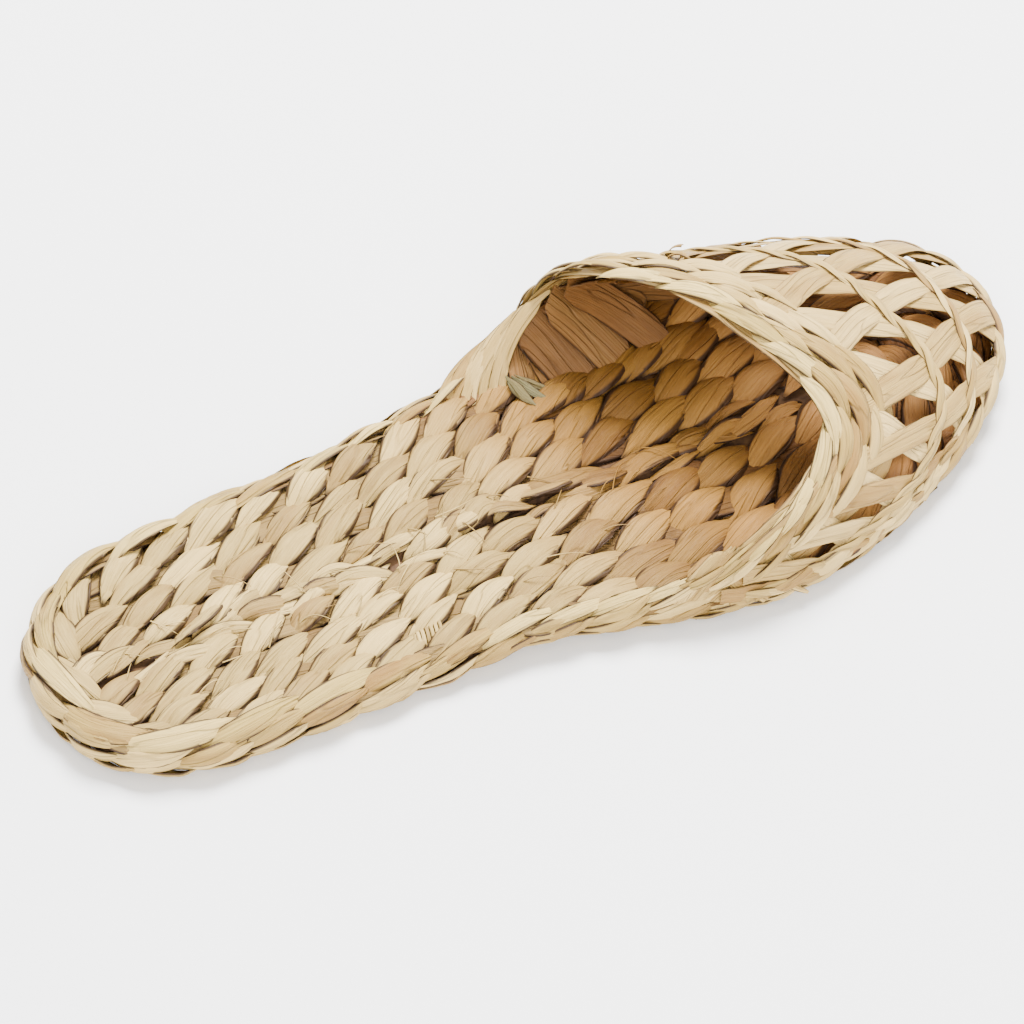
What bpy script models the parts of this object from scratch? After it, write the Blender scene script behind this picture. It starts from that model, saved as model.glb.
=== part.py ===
"""Woven straw slipper (a mule) as separate solids: sole mats, side rows, upper and its cords.

Sizes are in millimetres along the shoe: station = distance from the back of the heel,
left = +Y, up = +Z.  The toe points along +X.
"""

import math

import bpy
from mathutils import Vector

MM = 0.001
COLLECTION = "rattan_slipper"

LENGTH = 265.0
CENTRE_STATION = 133.4
CENTRE_LEFT = -1.8
GAP = 0.3

# Half widths of the sole: station, left half, right half.
HALF_WIDTHS = (
    (0.0, 36.2, 36.2),
    (40.0, 36.6, 36.6),
    (105.0, 39.6, 37.8),
    (190.0, 48.8, 54.4),
    (265.0, 49.0, 48.6),
)
HEEL_ROUND = 45.0
HEEL_POWER = 2.4
TOE_START = 150.0
TOE_POWER = 2.3
TOE_LEAN_START = 130.0
TOE_LEAN = 4.7

# Underside lift (arch and toe spring): station, height.
LIFT = ((0.0, 0.0), (85.0, 0.0), (118.0, 1.6), (152.0, 0.0), (226.0, 0.0), (265.0, 2.4))

# Points of the outline: round the heel, along the waist, round the toe.
HEEL_STEPS = 9
WAIST_STEPS = 9
TOE_STEPS = 13

OUTSOLE_BOTTOM = 0.0
OUTSOLE_TOP = 4.2
SIDE_BOTTOM = 0.4
SIDE_TOP = 5.4
# Height of the footbed's top: station, height.
FOOTBED_TOPS = ((0.0, 9.6), (30.0, 9.6), (100.0, 8.6), (150.0, 8.4), (265.0, 8.2))
# A mat's section from right to left: share of its width, share of its thickness.
MAT_SECTION = (
    (0.0, 0.3), (0.02, 0.0), (0.5, 0.0), (0.98, 0.0), (1.0, 0.3),
    (1.0, 0.7), (0.98, 1.0), (0.5, 1.0), (0.02, 1.0), (0.0, 0.7),
)
# The side rows' section from the outside inward: share of their width, share of their height.
SIDE_SECTION = (
    (0.14, 0.16), (0.36, 0.0), (0.8, 0.0), (1.0, 0.2), (1.0, 0.8),
    (0.76, 1.0), (0.34, 1.0), (0.09, 0.8), (0.0, 0.5),
)
# Width of the side rows seen from above: station, width.
SIDE_WIDTHS = ((0.0, 6.2), (60.0, 5.8), (140.0, 5.2), (172.0, 4.6), (265.0, 4.6))
# Radius of the rim strand where it lies on the side rows: station, radius.
RIM_RADII = ((0.0, 3.0), (30.0, 3.0), (100.0, 2.3), (150.0, 2.1))
RIM_RISES = 135.0
# Passes that ease the strand's rise, and the stations they work between.
RIM_SMOOTHING = 3
RIM_BLEND = (112.0, 168.0)

# Upper: a dome hung between two side points, cut by the collar and by the base plane.
BASE_HEIGHT = 6.55
DOME_HEIGHT = 45.2
PROFILE_POWER = 1.5
DOME_LEAN = 0.08
WALL = 2.0
# Tilt of the collar above the base plane, degrees: across (right -1 to left +1), tilt.
COLLAR_TILT = ((-1.0, 40.0), (-0.5, 27.0), (0.0, 43.0), (0.5, 66.0), (1.0, 66.0))
ACROSS_END = 0.93
# Width of the dense collar band along the surface: across (right -1 to left +1), width.
BAND_WIDTHS = ((-0.95, 6.2), (-0.5, 17.0), (0.0, 17.8), (0.5, 16.0), (0.95, 7.4))
# Weft rows: share of the way from the band's edge to the base.
WEFT_ONE = 0.38
WEFT_TWO = 0.70
# Where each cord stops, across from right to left.
RIM_ENDS = (-0.9, 0.9)
WEFT_ONE_ENDS = (-0.8, 0.84)
WEFT_TWO_ENDS = (-0.66, 0.8)
TOE_CORD_ENDS = (-0.86, 0.86)
RIM_RADIUS = 2.2
EDGE_GAP = 1.5
PROUD_GAP = 0.5
WEFT_RADIUS = 1.2
TOE_CORD_RADIUS = 1.1
TOE_CORD_HEIGHT = 1.9

CORD_SIDES = 8
CORD_STEPS = 36
# Steps for walking over the surface (share of the way down) and for its normal.
WALK_STEP = 0.004
# Points for spacing the cells evenly, and the furthest across that a normal is taken.
SPACING_STEPS = 240
NORMAL_END = 0.995

# Lattice cells across the upper, and where each band's openings start and stop in cells.
CELLS = 12
BAND_STARTS = (1.0, 1.5, 1.0)
# Opening in one lattice cell: across the cell, up the cell (0 to 1).
HOLE = ((0.24, 0.5), (0.40, 0.22), (0.60, 0.22), (0.76, 0.5), (0.60, 0.78), (0.40, 0.78))

STRAW = (0.78, 0.66, 0.45, 1.0)
PALE_STRAW = (0.84, 0.73, 0.53, 1.0)
DEEP_STRAW = (0.62, 0.47, 0.28, 1.0)


def smooth(rows, column, where):
    """Value of a table at `where`, by a cubic that never overshoots the rows."""
    xs = [row[0] for row in rows]
    ys = [row[column] for row in rows]
    where = min(max(where, xs[0]), xs[-1])
    steps = [(ys[i + 1] - ys[i]) / (xs[i + 1] - xs[i]) for i in range(len(xs) - 1)]
    slopes = [steps[0]]
    for i in range(1, len(xs) - 1):
        same_way = steps[i - 1] * steps[i] > 0.0
        slopes.append(2.0 * steps[i - 1] * steps[i] / (steps[i - 1] + steps[i]) if same_way else 0.0)
    slopes.append(steps[-1])
    i = 0
    while i < len(xs) - 2 and where > xs[i + 1]:
        i += 1
    width = xs[i + 1] - xs[i]
    u = (where - xs[i]) / width
    a = (1.0 + 2.0 * u) * (1.0 - u) ** 2
    b = u * (1.0 - u) ** 2
    c = u * u * (3.0 - 2.0 * u)
    d = u * u * (u - 1.0)
    return a * ys[i] + b * width * slopes[i] + c * ys[i + 1] + d * width * slopes[i + 1]


def lift(station):
    """Height of the underside above the floor."""
    return smooth(LIFT, 1, station)


def place(station, left, up):
    """Point in metres from the shoe's own sizes, with the arch and toe spring added."""
    return Vector((station - CENTRE_STATION, left - CENTRE_LEFT, up + lift(station))) * MM


def lean(station):
    """Sideways lean of the centre line towards the big toe."""
    share = max(station - TOE_LEAN_START, 0.0) / (LENGTH - TOE_LEAN_START)
    return TOE_LEAN * share * share


def half_width(station, side):
    """Nominal half width on one side (+1 left, -1 right), before the ends are rounded."""
    return smooth(HALF_WIDTHS, 1 if side > 0 else 2, station)


def edge(station, side):
    """Sideways place of the sole's outer edge."""
    if station < HEEL_ROUND:
        share = 1.0 - (1.0 - max(station, 0.0) / HEEL_ROUND) ** HEEL_POWER
        ends = share ** (1.0 / HEEL_POWER)
    else:
        along = min(max(station - TOE_START, 0.0) / (LENGTH - TOE_START), 1.0)
        ends = max(1.0 - along ** TOE_POWER, 0.0) ** (1.0 / TOE_POWER)
    return side * half_width(station, side) * ends + lean(station)


def outline(side):
    """Places on one side from heel to toe, close together where the ends are round."""
    stations = []
    for i in range(HEEL_STEPS):
        stations.append(HEEL_ROUND * (1.0 - math.cos(0.5 * math.pi * i / HEEL_STEPS)))
    for i in range(WAIST_STEPS):
        stations.append(HEEL_ROUND + (TOE_START - HEEL_ROUND) * i / WAIST_STEPS)
    for i in range(TOE_STEPS + 1):
        stations.append(TOE_START + (LENGTH - TOE_START) * math.sin(0.5 * math.pi * i / TOE_STEPS))
    return [(station, edge(station, side)) for station in stations]


def loop():
    """Closed outline seen from above: right side heel to toe, then left side back."""
    right = outline(-1)
    left = outline(1)
    left.reverse()
    return right + left[1:-1]


def inward(points, i):
    """Unit direction into the sole at point i of the closed outline."""
    before = points[i - 1]
    after = points[(i + 1) % len(points)]
    along = Vector((after[0] - before[0], after[1] - before[1])).normalized()
    return Vector((-along.y, along.x))


def new_collection(name):
    """Collection linked to the scene."""
    group = bpy.data.collections.new(name)
    bpy.context.scene.collection.children.link(group)
    return group


def material(name, colour, roughness):
    """Plain Principled material."""
    made = bpy.data.materials.new(name)
    made.use_nodes = True
    shader = made.node_tree.nodes["Principled BSDF"]
    shader.inputs["Base Color"].default_value = colour
    shader.inputs["Roughness"].default_value = roughness
    shader.inputs["Metallic"].default_value = 0.0
    return made


def add_mesh(name, points, faces, group, colour, roughness):
    """Mesh object with its own material, faces smooth."""
    mesh = bpy.data.meshes.new(name)
    mesh.from_pydata([tuple(point) for point in points], [], faces)
    mesh.polygons.foreach_set("use_smooth", [True] * len(mesh.polygons))
    piece = bpy.data.objects.new(name, mesh)
    piece.data.materials.append(material(name + "_straw", colour, roughness))
    group.objects.link(piece)
    return piece


def loft(sections, closed):
    """Points and faces through sections of equal count; open lofts get end caps."""
    count = len(sections[0])
    points = [point for section in sections for point in section]
    faces = []
    rounds = len(sections) if closed else len(sections) - 1
    for i in range(rounds):
        first = i * count
        second = ((i + 1) % len(sections)) * count
        for j in range(count):
            k = (j + 1) % count
            faces.append((first + j, first + k, second + k, second + j))
    if not closed:
        faces.append(tuple(reversed(range(count))))
        last = (len(sections) - 1) * count
        faces.append(tuple(last + j for j in range(count)))
    return points, faces


def inset_edges(margin):
    """Right and left edge of a mat that stops `margin` plus the side rows' width inside."""
    points = loop()
    half = len(points) // 2
    inner = []
    for i, (station, left) in enumerate(points):
        depth = smooth(SIDE_WIDTHS, 1, station) + margin
        shift = inward(points, i) * depth
        inner.append((station + shift.x, left + shift.y))
    right = inner[1:half]
    left = inner[half + 1:]
    left.reverse()
    return right, left


def mat(name, bottom, top, group, colour):
    """A woven mat: sections across the sole, rounded a little at their edges."""
    right, left = inset_edges(GAP)
    sections = []
    for (station_r, y_r), (station_l, y_l) in zip(right, left):
        low = bottom(0.5 * (station_r + station_l))
        high = top(0.5 * (station_r + station_l))
        row = []
        for share, rise in MAT_SECTION:
            station = station_r + (station_l - station_r) * share
            row.append(place(station, y_r + (y_l - y_r) * share, low + (high - low) * rise))
        sections.append(row)
    points, faces = loft(sections, False)
    return add_mesh(name, points, faces, group, colour, 0.75)


def side_row(group):
    """Full ring of twined rows round both mats, its section standing across the outline."""
    points = loop()
    sections = []
    for i, (station, left) in enumerate(points):
        width = smooth(SIDE_WIDTHS, 1, station)
        into = inward(points, i)
        section = []
        for share, rise in SIDE_SECTION:
            depth = share * width
            up = SIDE_BOTTOM + (SIDE_TOP - SIDE_BOTTOM) * rise
            section.append(place(station + into.x * depth, left + into.y * depth, up))
        sections.append(section)
    made, faces = loft(sections, True)
    return add_mesh("side_row", made, faces, group, STRAW, 0.7)


def dome(tilt, across):
    """Point of the upper's surface: tilt above the base plane, across from right to left."""
    turn = 0.5 * math.pi * across
    power = 2.0 / TOE_POWER
    sideways = math.copysign(abs(math.sin(turn)) ** power, across)
    reach = abs(math.cos(turn)) ** power
    flat = math.cos(tilt) / (LENGTH - TOE_START)
    rise = math.sin(tilt) / DOME_HEIGHT
    radius = (flat ** PROFILE_POWER + rise ** PROFILE_POWER) ** (-1.0 / PROFILE_POWER)
    station = TOE_START + radius * reach * math.cos(tilt)
    up = radius * reach * math.sin(tilt)
    wide = half_width(station, across) * sideways
    return Vector((station, wide + DOME_LEAN * up + lean(station), BASE_HEIGHT + up))


def shell(share, across):
    """Surface point by share of the way from collar (0) to base (1)."""
    tilt = math.radians(smooth(COLLAR_TILT, 1, across)) * (1.0 - share)
    return dome(max(tilt, 0.0), across)


def normal(share, across):
    """Outward unit normal of the upper's surface."""
    up = shell(share - WALK_STEP, across) - shell(share, across)
    right = shell(share, across - WALK_STEP)
    side = shell(share, min(across + WALK_STEP, NORMAL_END)) - right
    return side.cross(up).normalized()


def raised(share, across, height):
    """Point `height` off the surface, outward."""
    return shell(share, across) + normal(share, across) * height


def collar_share(across, distance):
    """Share at which the surface is `distance` from the collar line."""
    share = 0.0
    walked = 0.0
    here = shell(0.0, across)
    while walked < distance:
        share += WALK_STEP
        there = shell(share, across)
        walked += (there - here).length
        here = there
    return share


def band_share(across):
    """Share at which the dense band ends and the open lattice begins."""
    return collar_share(across, smooth(BAND_WIDTHS, 1, across))


def row_share(row, across):
    """Share of the way from collar to base of a row given within the lattice."""
    edge_of_band = band_share(across)
    return edge_of_band + (1.0 - edge_of_band) * row


def even_across(count):
    """Places across from right to left, evenly spaced along the first weft row."""
    marks = [ACROSS_END * (2.0 * i / SPACING_STEPS - 1.0) for i in range(SPACING_STEPS + 1)]
    run = [0.0]
    for i in range(SPACING_STEPS):
        a = shell(row_share(WEFT_ONE, marks[i]), marks[i])
        b = shell(row_share(WEFT_ONE, marks[i + 1]), marks[i + 1])
        run.append(run[-1] + (b - a).length)
    places = []
    j = 0
    for i in range(count + 1):
        wanted = run[-1] * i / count
        while j < SPACING_STEPS - 1 and run[j + 1] < wanted:
            j += 1
        share = (wanted - run[j]) / (run[j + 1] - run[j])
        places.append(marks[j] + (marks[j + 1] - marks[j]) * share)
    return places


def height_share(across, height):
    """Share at which the surface is `height` above the base plane."""
    share = 1.0
    while share > 0.0 and shell(share, across).z < BASE_HEIGHT + height:
        share -= WALK_STEP
    return share


class Patch:
    """Flat pattern of the upper: points by (across index, row value), faces between them."""

    def __init__(self, places):
        self.places = places
        self.index = {}
        self.points = []
        self.faces = []

    def across(self, column):
        """Place across for a column that may lie between two cells."""
        low = min(int(math.floor(column)), len(self.places) - 2)
        return self.places[low] + (self.places[low + 1] - self.places[low]) * (column - low)

    def point(self, column, share):
        """Index of the point at a column and a share, made once."""
        key = (round(column, 4), round(share, 5))
        if key not in self.index:
            self.index[key] = len(self.points)
            self.points.append(place(*shell(share, self.across(column))))
        return self.index[key]

    def strip(self, first, last, columns, rows):
        """Grid of faces between two row functions."""
        for i in range(len(columns) - 1):
            for j in range(rows):
                corners = []
                for column, step in ((columns[i], j), (columns[i], j + 1),
                                     (columns[i + 1], j + 1), (columns[i + 1], j)):
                    across = self.across(column)
                    a, b = first(across), last(across)
                    corners.append(self.point(column, a + (b - a) * step / rows))
                self.faces.append(tuple(corners))

    def cell(self, start, end, first, last):
        """One lattice cell with its opening, made of triangles split once."""
        def at(u, v):
            column = start + (end - start) * u
            across = self.across(column)
            a, b = first(across), last(across)
            return self.point(column, a + (b - a) * v)

        a, m, b = (0.0, 0.0), (0.5, 0.0), (1.0, 0.0)
        c, n, d = (0.0, 1.0), (0.5, 1.0), (1.0, 1.0)
        west, south_w, south_e, east, north_e, north_w = HOLE
        corners = (
            (a, m, south_w), (m, south_e, south_w), (m, b, south_e), (a, south_w, west),
            (a, west, c), (c, west, north_w), (c, north_w, n), (n, north_w, north_e),
            (n, north_e, d), (d, north_e, east), (d, east, b), (b, east, south_e),
        )
        for p, q, r in corners:
            pq = (0.5 * (p[0] + q[0]), 0.5 * (p[1] + q[1]))
            qr = (0.5 * (q[0] + r[0]), 0.5 * (q[1] + r[1]))
            rp = (0.5 * (r[0] + p[0]), 0.5 * (r[1] + p[1]))
            for triangle in ((p, rp, pq), (pq, qr, q), (rp, r, qr), (pq, rp, qr)):
                self.faces.append(tuple(at(u, v) for u, v in triangle))


def upper(group):
    """The hollow toe cover: dense collar band, then three open lattice bands."""
    patch = Patch(even_across(CELLS))
    quarter = [0.25 * i for i in range(4 * CELLS + 1)]

    def collar(across):
        return collar_share(across, 2.0 * RIM_RADIUS + EDGE_GAP)

    def one(across):
        return row_share(WEFT_ONE, across)

    def two(across):
        return row_share(WEFT_TWO, across)

    def base(across):
        return 1.0

    patch.strip(collar, band_share, quarter, 3)
    for first, last, start in zip((band_share, one, two), (one, two, base), BAND_STARTS):
        cells = int(CELLS - 2.0 * start)
        side = [0.25 * i for i in range(int(4.0 * start) + 1)]
        patch.strip(first, last, side, 2)
        patch.strip(first, last, [CELLS - start + place for place in side], 2)
        for k in range(cells):
            patch.cell(start + k, start + k + 1.0, first, last)
    piece = add_mesh("upper", patch.points, patch.faces, group, STRAW, 0.7)
    wall = piece.modifiers.new("wall", "SOLIDIFY")
    wall.thickness = WALL * MM
    wall.offset = -1.0
    wall.use_even_offset = True
    wall.use_rim = True
    return piece


def cord(name, path, radii, group, colour, ring=False):
    """Round cord through a list of places: a ring, or closed at both ends."""
    curve = bpy.data.curves.new(name + "_path", "CURVE")
    curve.dimensions = "3D"
    curve.bevel_depth = MM
    curve.bevel_resolution = (CORD_SIDES - 4) // 4
    curve.use_fill_caps = True
    curve.resolution_u = 1
    line = curve.splines.new("POLY")
    line.points.add(len(path) - 1)
    for i, spot in enumerate(path):
        line.points[i].co = (*place(*spot), 1.0)
        line.points[i].radius = radii[i]
    line.use_cyclic_u = ring
    holder = bpy.data.objects.new(name + "_holder", curve)
    bpy.context.scene.collection.objects.link(holder)
    bpy.context.view_layer.update()
    mesh = bpy.data.meshes.new_from_object(holder)
    bpy.data.objects.remove(holder)
    mesh.name = name
    mesh.materials.clear()
    mesh.materials.append(material(name + "_straw", colour, 0.7))
    mesh.polygons.foreach_set("use_smooth", [True] * len(mesh.polygons))
    piece = bpy.data.objects.new(name, mesh)
    group.objects.link(piece)
    return piece


def rim_path():
    """Places and radii round the mouth: over the collar, then back round the heel."""
    path = row_path(lambda a: collar_share(a, RIM_RADIUS), -0.5 * WALL, RIM_ENDS)
    radii = [RIM_RADIUS] * len(path)
    points = loop()
    half = len(points) // 2
    left = [i for i in range(half, len(points)) if points[i][0] < RIM_RISES]
    right = [i for i in range(half) if points[i][0] < RIM_RISES]
    for i in left + right:
        station, sideways = points[i]
        radius = smooth(RIM_RADII, 1, station)
        shift = inward(points, i) * radius
        up = SIDE_TOP + GAP + radius
        path.append(Vector((station + shift.x, sideways + shift.y, up)))
        radii.append(radius)
    for _ in range(RIM_SMOOTHING):
        before = list(path)
        for i, spot in enumerate(before):
            if RIM_BLEND[0] < spot.x < RIM_BLEND[1]:
                path[i] = 0.5 * spot + 0.25 * (before[i - 1] + before[(i + 1) % len(before)])
    return path, radii


def row_path(share_of, height, ends):
    """Places along one row over the upper, `height` off its surface, from right to left."""
    path = []
    for i in range(CORD_STEPS + 1):
        swing = 0.5 + 0.5 * math.sin(0.5 * math.pi * (2.0 * i / CORD_STEPS - 1.0))
        across = ends[0] + (ends[1] - ends[0]) * swing
        path.append(raised(share_of(across), across, height))
    return path


def main():
    for old in list(bpy.data.objects):
        bpy.data.objects.remove(old)
    group = new_collection(COLLECTION)

    mat("outsole", lambda s: OUTSOLE_BOTTOM, lambda s: OUTSOLE_TOP, group, DEEP_STRAW)
    mat("footbed", lambda s: OUTSOLE_TOP + GAP, lambda s: smooth(FOOTBED_TOPS, 1, s), group, STRAW)
    side_row(group)
    upper(group)

    rim, radii = rim_path()
    cord("rim", rim, radii, group, PALE_STRAW, ring=True)
    proud = PROUD_GAP + WEFT_RADIUS
    for name, row, ends in (("weft_row_1", WEFT_ONE, WEFT_ONE_ENDS),
                            ("weft_row_2", WEFT_TWO, WEFT_TWO_ENDS)):
        path = row_path(lambda a: row_share(row, a), proud, ends)
        cord(name, path, [WEFT_RADIUS] * len(path), group, PALE_STRAW)
    toe_off = PROUD_GAP + TOE_CORD_RADIUS
    toe = row_path(lambda a: height_share(a, TOE_CORD_HEIGHT), toe_off, TOE_CORD_ENDS)
    cord("toe_cord", toe, [TOE_CORD_RADIUS] * len(toe), group, PALE_STRAW)


main()
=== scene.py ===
"""Looks of a woven straw slipper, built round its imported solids.

Every strand of the weave is a path in the shoe's own sizes, in millimetres: station = distance
from the back of the heel, left = +Y, up = +Z.  One Geometry Nodes tree sweeps a leaf section
along the paths.  The toe points along +X.
"""

import logging
import math
from dataclasses import dataclass
from enum import Enum

import bmesh
import bpy
import numpy as np
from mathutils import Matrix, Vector


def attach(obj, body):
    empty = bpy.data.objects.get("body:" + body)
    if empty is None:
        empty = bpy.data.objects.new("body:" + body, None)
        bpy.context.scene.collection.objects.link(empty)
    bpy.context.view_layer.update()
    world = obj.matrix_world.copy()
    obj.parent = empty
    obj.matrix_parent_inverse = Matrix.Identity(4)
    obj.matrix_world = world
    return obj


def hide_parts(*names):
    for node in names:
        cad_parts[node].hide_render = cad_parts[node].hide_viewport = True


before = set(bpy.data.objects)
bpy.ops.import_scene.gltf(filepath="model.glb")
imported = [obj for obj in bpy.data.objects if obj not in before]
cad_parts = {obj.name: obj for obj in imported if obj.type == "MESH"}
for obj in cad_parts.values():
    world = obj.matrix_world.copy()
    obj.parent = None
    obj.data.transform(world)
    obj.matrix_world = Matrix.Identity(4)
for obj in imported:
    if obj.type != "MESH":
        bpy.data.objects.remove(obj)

log = logging.getLogger("slipper")

MM = 0.001
BODY = "root"

Array = np.ndarray
Spot = tuple[float, float, float]
Colour = tuple[float, float, float]
Range = tuple[float, float]
Piece = bpy.types.Object
Socket = bpy.types.NodeSocket

NEARLY_ZERO = 1e-9
UP = (0.0, 0.0, 1.0)


def unit(vectors: Array) -> Array:
    """Rows of an array scaled to length one."""
    return vectors / np.maximum(np.linalg.norm(vectors, axis=-1, keepdims=True), NEARLY_ZERO)


def placed(name: str, data: bpy.types.ID) -> Piece:
    """New object in the scene that holds this data.

    Args:
        name: Name of the object.
        data: Mesh, lamp or camera.

    Returns:
        The object.
    """
    piece = bpy.data.objects.new(name, data)
    bpy.context.scene.collection.objects.link(piece)
    return piece


def alike(direction: Spot, count: int) -> Array:
    """One direction, the same for every point of a path."""
    return np.tile(direction, (count, 1))


def walked(points: Array) -> Array:
    """Distance along a path at each of its points."""
    steps = np.linalg.norm(np.diff(points, axis=0), axis=1)
    return np.concatenate(([0.0], np.cumsum(steps)))


def spread(end: float, count: int) -> Array:
    """Places across from -end to end, closest together at both ends."""
    return end * np.sin(np.linspace(-0.5, 0.5, count) * math.pi)


@dataclass(frozen=True)
class Varied:
    """A size that differs from strand to strand."""

    base: float
    swing: float

    def even(self, draw: np.random.Generator) -> float:
        """Somewhere between the base and the base plus the swing."""
        return self.base + self.swing * draw.random()

    def bell(self, draw: np.random.Generator) -> float:
        """Mostly within the swing on either side of the base."""
        return self.base + self.swing * draw.normal()


def ease(share: Array, low: float, high: float) -> Array:
    """Smooth step from 0 at `low` to 1 at `high`."""
    part = np.clip((share - low) / (high - low), 0.0, 1.0)
    return part * part * (3.0 - 2.0 * part)


@dataclass(frozen=True)
class Table:
    """Rows of a place and its values, joined by cubics that never overshoot."""

    rows: tuple[tuple[float, ...], ...]

    def at(self, where: Array, column: int = 1) -> Array:
        """Value at each place.

        Args:
            where: Places, held within the table's ends.
            column: Which value of the rows is wanted.

        Returns:
            One value for each place.
        """
        xs = np.array([row[0] for row in self.rows])
        ys = np.array([row[column] for row in self.rows])
        where = np.clip(np.asarray(where, float), xs[0], xs[-1])
        steps = np.diff(ys) / np.diff(xs)
        before, after = steps[:-1], steps[1:]
        total = np.where(before * after > 0.0, before + after, 1.0)
        middle = np.where(before * after > 0.0, 2.0 * before * after / total, 0.0)
        slopes = np.concatenate((steps[:1], middle, steps[-1:]))
        i = np.clip(np.searchsorted(xs, where, side="left") - 1, 0, len(xs) - 2)
        width = xs[i + 1] - xs[i]
        u = (where - xs[i]) / width
        start = (1.0 + 2.0 * u) * (1.0 - u) ** 2 * ys[i] + u * u * (3.0 - 2.0 * u) * ys[i + 1]
        return start + width * (u * (1.0 - u) ** 2 * slopes[i] + u * u * (u - 1.0) * slopes[i + 1])


@dataclass(frozen=True)
class Last:
    """Outline, lift and toe dome of the shoe, the same sizes as its solids."""

    length: float = 265.0
    centre_station: float = 133.4
    centre_left: float = -1.8
    half_widths: Table = Table((
        (0.0, 36.2, 36.2), (40.0, 36.6, 36.6), (105.0, 39.6, 37.8),
        (190.0, 48.8, 54.4), (265.0, 49.0, 48.6),
    ))
    heel_round: float = 45.0
    heel_power: float = 2.4
    toe_start: float = 150.0
    toe_power: float = 2.3
    lean_start: float = 130.0
    toe_lean: float = 4.7
    lifts: Table = Table((
        (0.0, 0.0), (85.0, 0.0), (118.0, 1.6), (152.0, 0.0), (226.0, 0.0), (265.0, 2.4),
    ))

    def half_width(self, station: Array, side: Array) -> Array:
        """Half width on one side (+1 left, -1 right) before the ends are rounded.

        Args:
            station: Distances from the back of the heel.
            side: +1 left, -1 right.

        Returns:
            Half widths in millimetres.
        """
        left = self.half_widths.at(station, 1)
        right = self.half_widths.at(station, 2)
        return np.where(np.asarray(side) > 0.0, left, right)

    def lean(self, station: Array) -> Array:
        """Sideways lean of the centre line towards the big toe."""
        share = np.maximum(station - self.lean_start, 0.0) / (self.length - self.lean_start)
        return self.toe_lean * share * share

    def edge(self, station: Array, side: float) -> Array:
        """Sideways place of the sole's outer edge.

        Args:
            station: Distances from the back of the heel.
            side: +1 left, -1 right.

        Returns:
            Millimetres left of the middle.
        """
        station = np.asarray(station, float)
        heel = 1.0 - (1.0 - np.clip(station / self.heel_round, 0.0, 1.0)) ** self.heel_power
        toe_run = self.length - self.toe_start
        along = np.clip((station - self.toe_start) / toe_run, 0.0, 1.0)
        toe = 1.0 - along ** self.toe_power
        ends = heel ** (1.0 / self.heel_power) * toe ** (1.0 / self.toe_power)
        return side * self.half_width(station, side) * ends + self.lean(station)

    def centre(self, station: Array) -> Array:
        """Sideways place of the sole's middle."""
        return 0.5 * (self.edge(station, 1.0) + self.edge(station, -1.0))

    def world(self, points: Array) -> Array:
        """Points in metres in the part's frame, with the arch and toe spring added.

        Args:
            points: Points in the shoe's sizes.

        Returns:
            The moved points.
        """
        moved = np.array(points, float)
        moved[:, 2] += self.lifts.at(moved[:, 0])
        moved[:, 0] -= self.centre_station
        moved[:, 1] -= self.centre_left
        return moved * MM


class Outline:
    """The sole's closed outline by distance: from the toe along the left side, heel, right side."""

    reach: int = 3

    def __init__(self, last: Last, steps: int = 240) -> None:
        """Samples the outline densely and finds its directions.

        Args:
            last: The shoe's plan.
            steps: Samples along each side.
        """
        turn = np.linspace(0.0, math.pi, steps)
        station = last.length * 0.5 * (1.0 + np.cos(turn))
        left = np.stack((station, last.edge(station, 1.0)), axis=1)
        right = np.stack((station[::-1], last.edge(station[::-1], -1.0)), axis=1)
        points = np.concatenate((left, right[1:]))
        run = walked(points)
        self.length = run[-1]
        self.heel = run[steps - 1]
        even = np.linspace(0.0, self.length, 4 * steps, endpoint=False)
        self._run = np.append(even, self.length)
        self._points = np.stack([np.interp(self._run, run, points[:, k]) for k in range(2)], axis=1)
        once = self._points[:-1]
        ahead = np.roll(once, -self.reach, axis=0) - np.roll(once, self.reach, axis=0)
        ahead = unit(np.append(ahead, ahead[:1], axis=0))
        self._inward = np.stack((-ahead[:, 1], ahead[:, 0]), axis=1)

    def at(self, run: Array) -> Array:
        """Points (station, left) at distances along the outline."""
        run = np.mod(run, self.length)
        return np.stack([np.interp(run, self._run, self._points[:, k]) for k in range(2)], axis=1)

    def inward(self, run: Array) -> Array:
        """Directions into the sole at distances along the outline.

        Args:
            run: Distances along the outline.

        Returns:
            Unit directions (station, left).
        """
        run = np.mod(run, self.length)
        both = [np.interp(run, self._run, self._inward[:, k]) for k in range(2)]
        return unit(np.stack(both, axis=1))

    def whole(self, count: int) -> Array:
        """Distances all the way round."""
        return np.linspace(0.0, self.length, count, endpoint=False)

    def ahead_of(self, station: float, count: int) -> Array:
        """Distances from a station on the right, round the toe, to the same one on the left."""
        return np.linspace(self.run_at(station, -1.0) - self.length, self.run_at(station, 1.0),
                           count)

    def run_at(self, station: float, side: float) -> float:
        """Distance along the outline of a station on one side (+1 left, -1 right).

        Args:
            station: Distance from the back of the heel.
            side: +1 left, -1 right.

        Returns:
            The distance along the outline.
        """
        half = self._run < self.heel if side > 0.0 else self._run >= self.heel
        away = np.where(half, np.abs(self._points[:, 0] - station), np.inf)
        return float(self._run[int(np.argmin(away))])


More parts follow.
